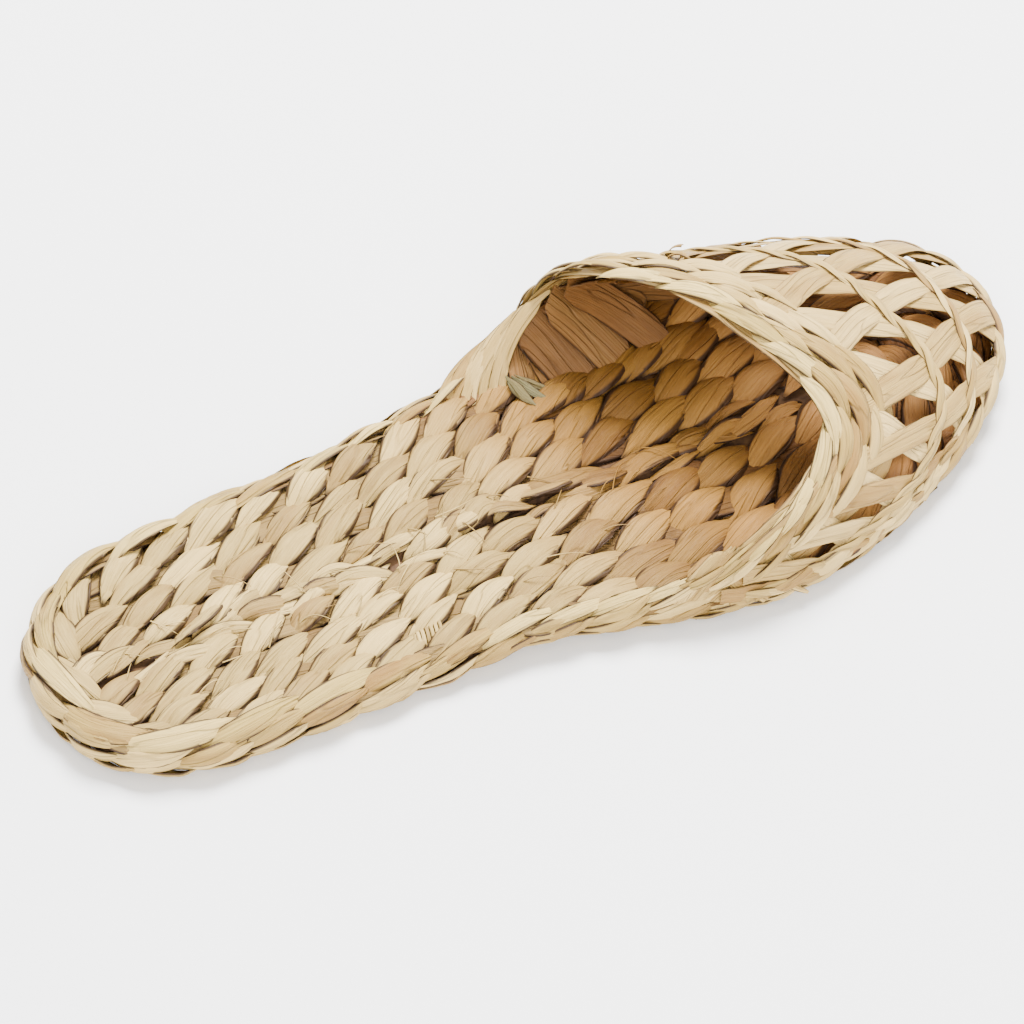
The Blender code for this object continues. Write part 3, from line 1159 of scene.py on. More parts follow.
@dataclass(frozen=True)
class Finishes:
    """The slipper's straws, made once."""

    outer: bpy.types.Material
    rim: bpy.types.Material
    footbed: bpy.types.Material
    plies: bpy.types.Material
    lattice: bpy.types.Material
    inner: bpy.types.Material
    under: bpy.types.Material
    green: bpy.types.Material
    core: bpy.types.Material

    @classmethod
    def make(cls) -> "Finishes":
        """Builds every finish.

        Returns:
            The finishes.
        """
        pale, warm, deep = (0.66, 0.455, 0.16), (0.42, 0.27, 0.068), (0.27, 0.14, 0.03)
        # Both are painted shade: tan for the lining inside the shoe, shade for leaves under the toe
        # cover.
        tan, shade = (0.21, 0.095, 0.025), (0.48, 0.335, 0.165)
        # A lighter painted shade for the lattice's edges and ends.
        soft_crevice_shade = (0.07, 0.03, 0.01)
        return cls(
            outer=Straw("outer_straw", pale, warm, deep).material(),
            rim=Straw("rim_straw", (0.65, 0.46, 0.15), (0.46, 0.315, 0.082), deep).material(),
            footbed=Straw("footbed_straw", (0.65, 0.45, 0.155), (0.415, 0.28, 0.085),
                          (0.265, 0.15, 0.04), crease=0.14, margin=0.53,
                          painted_toe_shade=shade).material(),
            # Ply straw: a darker copy of the footbed straw, painted shade for the grooves.
            plies=Straw("shaded_ply_straw", (0.33, 0.21, 0.065), (0.26, 0.155, 0.04), (0.19, 0.10, 0.025),
                        painted_toe_shade=shade).material(),
            lattice=Straw("lattice_straw", (0.67, 0.465, 0.175), (0.45, 0.29, 0.083), deep,
                          crease=0.15, margin=0.78, crevice_shade=soft_crevice_shade).material(),
            # Lining straw: a darker copy of the straw, painted shade for the inside of the shoe.
            inner=Straw("shaded_inner_straw", (0.235, 0.12, 0.033), tan, (0.13, 0.055, 0.015),
                        crevice_shade=(0.08, 0.035, 0.01), margin=0.72).material(),
            under=Straw("under_straw", warm, (0.30, 0.165, 0.05), deep).material(),
            green=Straw("green_straw", (0.15, 0.135, 0.06), (0.16, 0.13, 0.05),
                        (0.18, 0.12, 0.04)).material(),
            core=Pith().material(),
        )


@dataclass(frozen=True)
class Twine:
    """How a row is twined: leaves laid at a slant, each end tucked under its neighbour.

    Lengths are in millimetres for a row of the nominal width; `grow` says how far they
    follow the row where it is wider or narrower.
    """

    length: float = 25.0
    pitch: float = 13.6
    nominal: float = 7.3
    grow: float = 0.15
    slant: float = 25.0
    fullness: float = 1.08
    rise: float = 0.7
    tuck: float = 1.0
    tilt: float = 0.5
    roll: float = 0.28
    point: float = 1.8
    wander: float = 0.08
    # Least depth under the neighbours at every point, which the finish paints as shade.
    buried: float = 0.0
    count: int = 16
    first_gap: float = 0.3
    last_gap: float = 0.4
    bend: float = 0.025
    shift: float = 0.05
    arch_power: float = 0.8
    thinnest: float = 0.12
    tucked_part: float = 0.45
    slants: Varied = Varied(1.0, 0.15)
    rises: Varied = Varied(1.0, 0.4)
    turns: Varied = Varied(0.0, 0.1)
    skews: Varied = Varied(0.85, 0.3)
    girths: Varied = Varied(1.0, 0.08)

    def lay(self, row: Row, strands: Strands, first: float = 0.0) -> None:
        """Lays leaves along a row.

        Args:
            row: The row's line.
            strands: Bundle that takes the leaves.
            first: Distance where the leaves start.
        """
        draw = strands.random
        margin = 0.0 if row.closed else 0.5 * self.length
        run = first + margin + self.first_gap * self.pitch * draw.random()
        stop = row.length - margin
        if row.closed:
            stop = run + row.length - self.last_gap * self.pitch
        while run < stop:
            scale = (row.width(run) / self.nominal) ** self.grow
            strands.add(*self._leaf(row, run, scale, draw))
            run += self.pitch * scale * (1.0 + 0.5 * self.wander * draw.normal())

    def _leaf(self, row: Row, run: float, scale: float,
              draw: np.random.Generator) -> tuple[Array, Array, Array, Array]:
        """One leaf of a row.

        Args:
            row: The row's line.
            run: Distance of the leaf's middle.
            scale: How much larger it is than one of a row of the nominal width.
            draw: Source of its small differences.

        Returns:
            Path, directions that it faces, half widths and how deep it is tucked.
        """
        share = np.linspace(0.0, 1.0, self.count)
        middle = share - 0.5
        width = row.width(run)
        reach = self.length * scale * (1.0 + self.wander * draw.normal())
        turn = math.radians(self.slant * self.slants.bell(draw))
        bow = self.bend * reach * draw.normal() * (1.0 - 4.0 * middle * middle)
        along = run + reach * middle * math.cos(turn)
        aside = reach * middle * math.sin(turn) + bow + self.shift * width * draw.normal()
        high = self.rise * self.rises.bell(draw)
        arch = np.maximum(np.sin(math.pi * share), 0.0) ** self.arch_power
        height = -self.tuck + (self.tuck + high) * arch + self.tilt * middle
        points, normals = row.at(along, aside, height)
        ahead = unit(np.gradient(points, axis=0))
        lean = self.roll * 2.0 * middle + self.turns.bell(draw)
        normals = unit(normals + np.cross(normals, ahead) * lean[:, None])
        skew = share ** self.skews.even(draw)
        girth = 0.5 * width * self.fullness * self.girths.bell(draw)
        lens = 1.0 - np.abs(2.0 * skew - 1.0) ** self.point
        tucked = 1.0 - ease(np.sin(math.pi * share), 0.0, self.tucked_part)
        girths = np.maximum(girth * lens, self.thinnest * girth)
        return points, normals, girths, np.maximum(tucked, self.buried)


Built = list[tuple[Piece, str, tuple[str, ...]]]


@dataclass(frozen=True)
class SeamFolds:
    """Pinched strands along the footbed's middle."""

    start: float = 13.0
    stop: float = 205.0
    pitch: Varied = Varied(3.2, 2.2)
    length: Varied = Varied(17.0, 10.0)
    slant: Varied = Varied(9.0, 9.0)
    girth: Varied = Varied(1.6, 2.2)
    height: Varied = Varied(2.4, 0.4)
    facing: Varied = Varied(0.0, 0.5)
    aside: float = 2.6
    wave: float = 0.9
    waves: float = 6.0
    depth: float = 3.0
    toe_depth: float = 0.9
    toe_zone: Range = (130.0, 160.0)


@dataclass
class SoleWeave:
    """The sole: woven top and underside, twined wall rows and the packing inside.

    `core_section` goes from the middle of the top round the edge to the middle of the
    underside: share of the way to the edge, share of the height.
    """

    sole: Sole
    sweep: StrandSweep
    finishes: Finishes
    rings: int = 4
    seam_share: float = 0.45
    edge_strip: float = 1.9
    heel_start: float = 2.0
    top_sink: float = 1.9
    tuck_stations: Range = (141.0, 212.0)
    tuck_lefts: Range = (28.0, 27.0)
    tuck_sink: float = 1.0
    edge_lift: float = 0.8
    under_height: float = 1.3
    under_belly: float = 0.2
    wall_sink: float = 0.9
    wall_share: float = 0.42
    low_angle: float = -44.0
    ply_angle: float = 58.0
    ply_start: float = 6.0
    toe_angles: Range = (26.0, -10.0)
    toe_station: float = 122.0
    folds: SeamFolds = SeamFolds()
    core_inset: float = 2.6
    core_bottom: float = 1.9
    core_sink: float = 3.3
    core_section: tuple[Range, ...] = (
        (0.04, 1.0), (0.5, 1.0), (0.92, 1.0), (1.0, 0.6),
        (1.0, 0.35), (0.92, 0.0), (0.5, 0.0), (0.04, 0.0),
    )
    top_twine: Twine = Twine()
    # Every ply counts as half buried, so painted crevice shade lies along its whole length.
    ply_twine: Twine = Twine(length=26.0, slant=-10.0, fullness=1.25, rise=-1.0, tuck=1.4,
                             roll=0.0, buried=0.5)
    under_twine: Twine = Twine(rise=0.3, tuck=0.7, fullness=1.1, roll=0.1)
    wall_twine: Twine = Twine(length=22.0, pitch=14.5, nominal=4.6, grow=0.3, slant=12.5,
                              rise=0.7, tuck=1.1, tilt=0.6, roll=0.25, point=2.0, count=20)

    def ring_row(self, ring: int, top: bool) -> Row:
        """One oval row of the top or the underside.

        Args:
            ring: Number of the row, from the edge inward.
            top: True for the footbed, False for the underside.

        Returns:
            The row's line.
        """
        outline, straight = self.sole.outline, top and ring > 0
        heel = self.sole.heel_centre
        run = outline.ahead_of(heel, 400) if straight else outline.whole(400)
        reach = self.sole.reach(run)
        strip = self.sole.wall_depths.at(outline.at(run)[:, 0]) - self.edge_strip
        inner = 1.0 - strip / reach
        rows = self.rings + self.seam_share
        share = 1.0 - (ring + 0.5) / rows
        flat = self.sole.ring(run, inner * share)
        width = reach * inner / rows
        if straight:
            near = self.heel_start + (1.0 - math.sqrt(1.0 - share * share)) * heel
            added = np.linspace(near, heel - 1.0, 24)
            ends = [np.column_stack((added, np.full(len(added), point[1])))
                    for point in (flat[0], flat[-1])]
            flat = np.concatenate((ends[0], flat, ends[1][::-1]))
            width = np.pad(width, len(added), "edge")
        if top:
            high = self.sole.footbed_tops.at(flat[:, 0]) - self.top_sink
            high += self.edge_lift if ring == 0 else 0.0
        else:
            high = np.full(len(flat), self.under_height)
        facing = alike((0.0, 0.0, 1.0 if top else -1.0), len(flat))
        return Row(np.column_stack((flat, high)), facing, width, not straight)

    def top(self) -> Piece:
        """Footbed rows, with a short one more in front of the far flank's leaves.

        Returns:
            The piece.
        """
        strands = Strands(self.sole.last, 11)
        for ring in range(self.rings):
            self.top_twine.lay(self.ring_row(ring, True), strands)
        along = np.linspace(*self.tuck_stations, 60)
        count = len(along)
        high = self.sole.footbed_tops.at(along) - self.tuck_sink
        line = np.column_stack((along, np.linspace(*self.tuck_lefts, count), high))
        widths = np.full(count, self.top_twine.nominal)
        self.top_twine.lay(Row(line, alike(UP, count), widths), strands)
        return self.sweep.run("footbed_weave", strands, Section.FULL, self.finishes.footbed,
                              sides=22, wrinkle=0.38)

    def plies(self) -> Piece:
        """The other strand of each footbed row, seen only down in the grooves, in a darker straw
        that paints their shade.

        Returns:
            The piece.
        """
        strands = Strands(self.sole.last, 15)
        for ring in range(self.rings):
            self.ply_twine.lay(self.ring_row(ring, True), strands, self.ply_start)
        whole = self.sole.outline.whole(500)
        self.ply_twine.lay(self.wall_row(self.ply_angle, whole, True), strands)
        return self.sweep.run("footbed_plies", strands, Section.LEAF, self.finishes.plies,
                              sides=12, wrinkle=0.3)

    def seam(self) -> Piece:
        """Pinched and folded strands where the rows meet along the middle.

        Returns:
            The piece.
        """
        strands = Strands(self.sole.last, 12)
        draw, folds = strands.random, self.folds
        station = folds.start
        share = np.linspace(-0.5, 0.5, 14)
        hump = np.maximum(np.cos(math.pi * share), 0.0)
        while station < folds.stop:
            reach = folds.length.even(draw)
            turn = math.radians(folds.slant.bell(draw))
            along = station + share * reach * math.cos(turn)
            aside = self.sole.last.centre(along) + share * reach * math.sin(turn)
            aside = aside + folds.aside * draw.normal()
            aside += folds.wave * np.sin(folds.waves * share + folds.waves * draw.random())
            low = folds.depth + folds.toe_depth * float(ease(station, *folds.toe_zone))
            high = self.sole.footbed_tops.at(along) - low + folds.height.bell(draw) * hump ** 0.7
            facing = alike(unit(np.array((0.0, folds.facing.bell(draw), 1.0))), len(share))
            girth = folds.girth.even(draw) * np.maximum(hump, 0.03) ** 0.7
            strands.add(np.column_stack((along, aside, high)), facing, girth, 1.0 - hump ** 0.3)
            station += folds.pitch.even(draw)
        return self.sweep.run("footbed_seam", strands, Section.FULL, self.finishes.footbed,
                              sides=16, wrinkle=0.5)

    def under(self) -> Piece:
        """Rows of the underside, pressed flat.

        Returns:
            The piece.
        """
        strands = Strands(self.sole.last, 13, self.under_belly)
        for ring in range(self.rings + 1):
            self.under_twine.lay(self.ring_row(ring, False), strands)
        return self.sweep.run("underside_weave", strands, Section.FLAT, self.finishes.under)

    def wall_row(self, angle: float, run: Array, closed: bool) -> Row:
        """Line of one twined row round the wall.

        Args:
            angle: Degrees up (+) or down (-) from straight out.
            run: Distances along the outline.
            closed: Whether it goes all the way round.

        Returns:
            The row's line.
        """
        points, normals = self.sole.wall(run, angle)
        heights = self.sole.wall_heights.at(points[:, 0])
        return Row(points - normals * self.wall_sink, normals, self.wall_share * heights, closed)

    def wall(self) -> Piece:
        """Twined rows round the sole's edge: one right round, two more round the toe.

        Returns:
            The piece.
        """
        strands = Strands(self.sole.last, 14)
        whole = self.sole.outline.whole(500)
        self.wall_twine.lay(self.wall_row(self.low_angle, whole, True), strands)
        front = self.sole.outline.ahead_of(self.toe_station, 260)
        for angle in self.toe_angles:
            self.wall_twine.lay(self.wall_row(angle, front, False), strands)
        return self.sweep.run("sole_side_rows", strands, Section.FULL, self.finishes.outer,
                              sides=14, wrinkle=0.3)

    def core(self) -> Piece:
        """Closed body of stalk packing inside the weave.

        Returns:
            The piece.
        """
        run = self.sole.outline.whole(120)
        edge = self.sole.outline.at(run) + self.sole.outline.inward(run) * self.core_inset
        middle = self.sole.middle(run)
        low = self.core_bottom
        tall = self.sole.footbed_tops.at(edge[:, 0]) - self.core_sink
        loops = [
            np.column_stack((middle + (edge - middle) * share, low + (tall - low) * rise))
            for share, rise in self.core_section
        ]
        points = self.sole.last.world(np.concatenate(loops))
        count = len(run)
        shape = bmesh.new()
        verts = [shape.verts.new(point) for point in points]
        for i in range(len(loops) - 1):
            for j in range(count):
                k = (j + 1) % count
                shape.faces.new((verts[i * count + j], verts[i * count + k],
                                 verts[(i + 1) * count + k], verts[(i + 1) * count + j]))
        shape.faces.new(verts[:count])
        shape.faces.new(verts[-count:])
        bmesh.ops.recalc_face_normals(shape, faces=shape.faces)
        mesh = bpy.data.meshes.new("stalk_packing")
        shape.to_mesh(mesh)
        shape.free()
        mesh.materials.append(self.finishes.core)
        return placed("stalk_packing", mesh)

    def build(self) -> Built:
        """Builds the sole.

        Returns:
            Each piece with its material slot and the solids that it stands for.
        """
        return [
            (self.top(), "top_mat", ("footbed",)),
            (self.plies(), "top_mat", ("footbed",)),
            (self.seam(), "top_mat", ("footbed",)),
            (self.under(), "under_mat", ("outsole",)),
            (self.wall(), "side_rows", ("side_row",)),
            (self.core(), "under_mat", ("outsole",)),
        ]


@dataclass(frozen=True)
class FlankLeaves:
    """Leaves inside the flanks, from the band down into the sole.

    `firsts` holds a side and the row of its first leaf; from `band_row` on down the cover,
    leaves start nearer the middle.
    """

    firsts: tuple[Range, ...] = ((-1.0, -1.75), (1.0, -1.2))
    last: float = 0.3
    pitch: float = 0.17
    band_row: float = -1.0
    starts: Range = (0.42, 0.78)
    wander: float = 0.12
    depth: float = 1.5
    depth_swing: float = 0.5
    drop: float = 3.0
    girth: Varied = Varied(2.9, 0.9)


@dataclass(frozen=True)
class CornerStrands:
    """Pale strands that run from the mouth's far corner down into the footbed."""

    count: int = 7
    row: float = -0.8
    start_across: float = 0.88
    across_step: float = -0.035
    depth: float = 0.9
    stop: Spot = (127.0, 34.0, 7.6)
    stop_step: Spot = (2.6, -0.45, 0.0)
    back: Varied = Varied(3.4, 1.0)
    out: float = 3.2
    dip: float = 2.6
    facing: Spot = (-0.6, -0.5, 0.6)
    girth: Varied = Varied(1.9, 0.5)


@dataclass(frozen=True)
class LiningLeaves:
    """Wide leaves behind the band, darkened as painted shade; past `far_cell` they reach down the
    far flank.

    `hanging` holds the leaves that hang to the footbed: place across at the band, station at
    the foot, half width.  `plug` is the line that closes the far flank's foot: station, left,
    height.
    """

    first_cell: float = 0.2
    pitch: float = 0.5
    far_cell: float = 8.4
    depths: Range = (0.75, 3.3)
    leans: Range = (0.5, -0.4)
    forward_part: float = 0.6
    start_row: float = -0.85
    wander: float = 0.1
    inside: float = -1.8
    inside_swing: float = 0.9
    far_sag: float = 5.0
    girth: Varied = Varied(4.6, 0.8)
    hanging: tuple[Spot, ...] = (
        (0.54, 188.0, 5.0), (0.88, 150.0, 6.0), (0.66, 176.0, 6.5), (0.86, 157.0, 3.0),
        (0.80, 166.0, 8.5),
    )
    hang_row: float = -0.9
    hang_inside: float = -2.0
    foot: Range = (28.5, 7.4)
    belly: Varied = Varied(2.0, 3.0)
    turn: float = 0.2
    hang_facing: Range = (-0.7, 0.6)
    hang_tint: Varied = Varied(0.3, 0.7)
    # Painted shade on the hanging and plug leaves, as if tucked this deep.
    sunk: float = 0.35
    plug: tuple[Spot, ...] = (
        (120.0, 33.5, 6.8), (133.0, 36.5, 8.6), (146.0, 40.5, 11.0), (156.0, 42.5, 16.0),
    )
    plug_shares: tuple[float, ...] = (0.0, 0.4, 0.75, 1.0)
    plug_shifts: Range = (0.0, -2.5)
    plug_facing: Spot = (-0.3, -0.3, 0.9)
    plug_half: float = 3.6


@dataclass
class CollarWeave:
    """Rows that run over the collar and on round the heel, and the leaves behind them."""

    sole: Sole
    cover: Cover
    sweep: StrandSweep
    finishes: Finishes
    places: tuple[float, ...] = (-0.96, -0.69, -0.42, -0.15)
    widths: tuple[float, ...] = (0.33, 0.28, 0.28, 0.28)
    heel_angles: Spot = (64.0, 26.0, -9.0)
    heel_widths: Spot = (0.72, 0.46, 0.44)
    end: float = 0.88
    last_end: float = 0.94
    sinks: Spot = (1.5, 1.2, 1.0)
    rim_narrowing: float = 0.3
    narrow_zone: Range = (60.0, 120.0)
    mouth_turn: float = 0.7
    swell: float = 2.4
    swell_zone: Range = (0.05, 0.6)
    calm_zone: Range = (0.72, 0.9)
    join_station: float = 132.0
    blend_zone: Range = (98.0, 182.0)
    blend_passes: int = 40
    rim_twine: Twine = Twine(length=36.0, pitch=19.5, nominal=8.2, grow=0.8, slant=9.0,
                             fullness=0.82, rise=1.0, tuck=1.6, tilt=0.4, roll=0.25, point=2.2,
                             count=26)
    row_twine: Twine = Twine(length=25.0, pitch=15.5, nominal=4.6, grow=0.3, slant=11.0,
                             fullness=1.05, tuck=1.1, tilt=0.6, roll=0.25, point=2.0, count=20)
    backing_twine: Twine = Twine(length=60.0, pitch=32.0, nominal=8.0, grow=0.0, slant=1.0,
                                 fullness=1.6, rise=-1.3, tuck=1.7, tilt=0.0, roll=0.0, point=6.0,
                                 count=30)
    backing_rows: tuple[Range, ...] = ((-0.72, 0.45), (-0.3, 0.5))
    flank_leaves: FlankLeaves = FlankLeaves()
    edge_depths: Range = (1.2, 2.4)
    edge_row: float = -1.02
    edge_row_step: float = 0.08
    edge_start: float = 0.45
    edge_run: float = 0.53
    edge_girth: float = 2.4
    corner: CornerStrands = CornerStrands()
    leaves: LiningLeaves = LiningLeaves()

    def over_collar(self, number: int) -> tuple[Array, Array, Array]:
        """One row's stretch over the cover, from right to left.

        Args:
            number: Number of the row, from the mouth.

        Returns:
            Points, outward directions and widths.
        """
        end = self.end if number < len(self.heel_angles) else self.last_end
        across = spread(end, 90)
        place = np.full(len(across), self.places[number])
        points, normals = self.cover.at(place, across, self.outward(across))
        if number == 0:
            inner, _ = self.cover.at(place + 0.1, across, 0.0)
            normals = unit(normals + self.mouth_turn * unit(points - inner))
        return points, normals, self.cover.band_widths.at(across) * self.widths[number]

    def outward(self, across: Array) -> Array:
        """How far the rows stand off the surface: they bulge on the far flank."""
        return self.swell * ease(across, *self.swell_zone) * (1.0 - ease(across, *self.calm_zone))

    def round_heel(self, number: int) -> tuple[Array, Array, Array]:
        """One row's stretch round the heel, from the left side back to the right.

        Args:
            number: Number of the row.

        Returns:
            Points, outward directions and widths.
        """
        sides = (self.sole.outline.run_at(self.join_station, side) for side in (1.0, -1.0))
        run = np.linspace(*sides, 260)
        points, normals = self.sole.wall(run, self.heel_angles[number])
        widths = self.heel_widths[number] * self.sole.wall_heights.at(points[:, 0])
        if number == 0:
            widths = widths * (1.0 - self.rim_narrowing * ease(points[:, 0], *self.narrow_zone))
        return points - normals * self.sinks[number], normals, widths

    def row(self, number: int) -> Row:
        """Line of one band row; the first three run on round the heel as rings.

        Args:
            number: Number of the row.

        Returns:
            The row's line.
        """
        over = self.over_collar(number)
        if number >= len(self.heel_angles):
            return Row(*over)
        heel = self.round_heel(number)
        ring = [np.concatenate(pair) for pair in zip(over, heel)]
        return Row(*ring, True).eased(self.blend_zone, self.blend_passes)

    def rim(self) -> Piece:
        """Wide folded strands along the mouth's edge and round the heel's top.

        Returns:
            The piece.
        """
        strands = Strands(self.sole.last, 21)
        self.rim_twine.lay(self.row(0), strands)
        return self.sweep.run("rim_strands", strands, Section.FULL, self.finishes.rim,
                              sides=20, wrinkle=0.4)

    def band(self) -> Piece:
        """The other twined rows of the collar.

        Returns:
            The piece.
        """
        strands = Strands(self.sole.last, 22)
        for number in range(1, len(self.places)):
            self.row_twine.lay(self.row(number), strands)
        return self.sweep.run("collar_rows", strands, Section.FULL, self.finishes.outer,
                              sides=14, wrinkle=0.3)

    def backing(self) -> Piece:
        """Long flat leaves behind the band's rows, so that it is closed.

        Returns:
            The piece.
        """
        strands = Strands(self.sole.last, 24)
        for place, share in self.backing_rows:
            across = spread(self.cover.farthest, 120)
            rows = np.full(len(across), place)
            points, normals = self.cover.at(rows, across, self.outward(across))
            line = Row(points, normals, self.cover.band_widths.at(across) * share)
            self.backing_twine.lay(line, strands)
        return self.sweep.run("collar_backing", strands, Section.FLAT, self.finishes.lattice,
                              sides=12, wrinkle=0.2)

    def flanks(self) -> Piece:
        """Pale leaves inside both flanks, behind the mouth's far edge and at its far corner.

        Returns:
            The piece.
        """
        strands = Strands(self.sole.last, 25)
        share = np.linspace(0.0, 1.0, 24)
        start = np.maximum(ease(share, 0.0, 0.2), 0.1)
        for side, first in self.flank_leaves.firsts:
            for place in np.arange(first, self.flank_leaves.last, self.flank_leaves.pitch):
                self._flank_leaf(strands, side, place, share, start)
        for deep in self.edge_depths:
            across = self.edge_start + self.edge_run * share
            rows = np.full(len(share), self.edge_row + self.edge_row_step * deep)
            points, normals = self.cover.at(rows, across, self.outward(across) - deep)
            lens = np.maximum(np.sin(math.pi * share) ** 0.4, 0.2)
            strands.add(points, normals, self.edge_girth * lens)
        for number in range(self.corner.count):
            self._corner_strand(strands, number, share)
        return self.sweep.run("collar_flanks", strands, Section.LEAF, self.finishes.lattice,
                              sides=12, wrinkle=0.3)

    def _flank_leaf(self, strands: Strands, side: float, place: float, share: Array,
                    lens: Array) -> None:
        """Adds one leaf that runs down inside a flank.

        Args:
            strands: Bundle that takes the leaf.
            side: +1 left, -1 right.
            place: Row that it starts on.
            share: Share of its way at each point.
            lens: Share of its half width at each point.
        """
        leaf, draw = self.flank_leaves, strands.random
        start = leaf.starts[0 if place > leaf.band_row else 1]
        across = side * (start + (self.cover.flank_end - start) * share ** 0.8)
        rows = place + leaf.wander * draw.normal() * share
        height = self.outward(across) * 0.5 - leaf.depth - leaf.depth_swing * draw.random()
        points, normals = self.cover.at(rows, across, height)
        points[:, 2] -= leaf.drop * share ** 3
        strands.add(points, normals, leaf.girth.even(draw) * lens)

    def _corner_strand(self, strands: Strands, number: int, share: Array) -> None:
        """Adds one of the strands that bend from the mouth's far corner into the footbed.

        Args:
            strands: Bundle that takes the strand.
            number: Number of the strand, from the heel's side.
            share: Share of its way at each point.
        """
        corner, draw = self.corner, strands.random
        across = corner.start_across + corner.across_step * number
        start, _ = self.cover.at(np.array([corner.row]), np.array([across]), -corner.depth)
        stop = np.array(corner.stop) + np.array(corner.stop_step) * number
        points = start + np.outer(share, stop - start[0])
        bulge = np.maximum(np.sin(math.pi * share), 0.0) ** 0.7
        points[:, 0] -= corner.back.bell(draw) * bulge
        points[:, 1] += corner.out * bulge
        points[:, 2] -= corner.dip * share ** 6
        lens = np.maximum(ease(share, 0.0, 0.2), 0.3)
        facing = alike(unit(np.array(corner.facing)), len(share))
        strands.add(points, facing, corner.girth.even(draw) * lens)

    def lining(self) -> Piece:
        """Wide leaves behind the band, darkened as painted shade; on the left they hang down to the
        footbed.

        Returns:
            The piece.
        """
        strands = Strands(self.sole.last, 23)
        leaves = self.leaves
        share = np.linspace(0.0, 1.0, 14)
        taper = np.maximum(1.0 - np.abs(2.0 * share - 1.0) ** 8, 0.15)
        for cell in np.arange(leaves.first_cell, self.cover.cells + 0.3, leaves.pitch):
            self._lining_leaf(strands, cell, share, taper)
        for across, station, half in leaves.hanging:
            self._hanging_leaf(strands, across, station, half, share)
        plug = np.column_stack([np.interp(share, leaves.plug_shares, spots)
                                for spots in zip(*leaves.plug)])
        facing = alike(unit(np.array(leaves.plug_facing)), len(share))
        for shift in leaves.plug_shifts:
            strands.add(plug + np.array((0.0, shift, shift)), facing, leaves.plug_half * taper,
                        leaves.sunk)
        return self.sweep.run("collar_lining", strands, Section.FLAT, self.finishes.inner,
                              sides=12, wrinkle=0.3)

    def _lining_leaf(self, strands: Strands, cell: float, share: Array, taper: Array) -> None:
        """Adds one leaf behind the band.

        Args:
            strands: Bundle that takes the leaf.
            cell: Cell across that it starts in.
            share: Share of its way at each point.
            taper: Share of its half width at each point.
        """
        leaves, draw = self.leaves, strands.random
        far = bool(cell > leaves.far_cell)
        lean = leaves.leans[0 if draw.random() < leaves.forward_part else 1]
        rows = leaves.start_row + leaves.depths[far] * share
        across = self.cover.across(cell + lean * share + leaves.wander * draw.normal())
        inside = leaves.inside - leaves.inside_swing * draw.random()
        inside = inside - (leaves.far_sag * share ** 2 if far else 0.0)
        points, normals = self.cover.at(rows, across, inside)
        strands.add(points, normals, leaves.girth.even(draw) * taper)

    def _hanging_leaf(self, strands: Strands, across: float, station: float, half: float,
                      share: Array) -> None:
        """Adds one wide leaf that hangs from the band to the footbed.

        Args:
            strands: Bundle that takes the leaf.
            across: Place across where it leaves the band.
            station: Station of its foot.
            half: Half width in millimetres.
            share: Share of its way at each point.
        """
        leaves, draw = self.leaves, strands.random
        start, _ = self.cover.at(np.array([leaves.hang_row]), np.array([across]),
                                 leaves.hang_inside)
        points = start + np.outer(share, np.array((station, *leaves.foot)) - start[0])
        points[:, 1] += leaves.belly.even(draw) * np.sin(math.pi * share)
        facing = unit(np.array((leaves.turn * draw.normal(), *leaves.hang_facing)))
        lens = np.maximum(1.0 - np.abs(2.0 * share - 1.0) ** 10, 0.6)
        strands.add(points, alike(facing, len(share)), half * lens, leaves.sunk,
                    leaves.hang_tint.even(draw))

    def build(self) -> Built:
        """Builds the collar.

        Returns:
            Each piece with its material slot and the solids that it stands for.
        """
        return [
            (self.rim(), "rim_strand", ("rim",)),
            (self.band(), "lattice", ("upper",)),
            (self.backing(), "lattice", ("upper",)),
            (self.flanks(), "lattice", ("upper",)),
            (self.lining(), "lattice", ("upper",)),
        ]


@dataclass(frozen=True)
class WeftCord:
    """Two thin strands that twine round each other along a row of the lattice."""

    height: float = 0.55
    half: float = 1.25
    swing: float = 0.85
    lift: float = 0.4
    unevenness: float = 0.12
    wave: float = 0.31


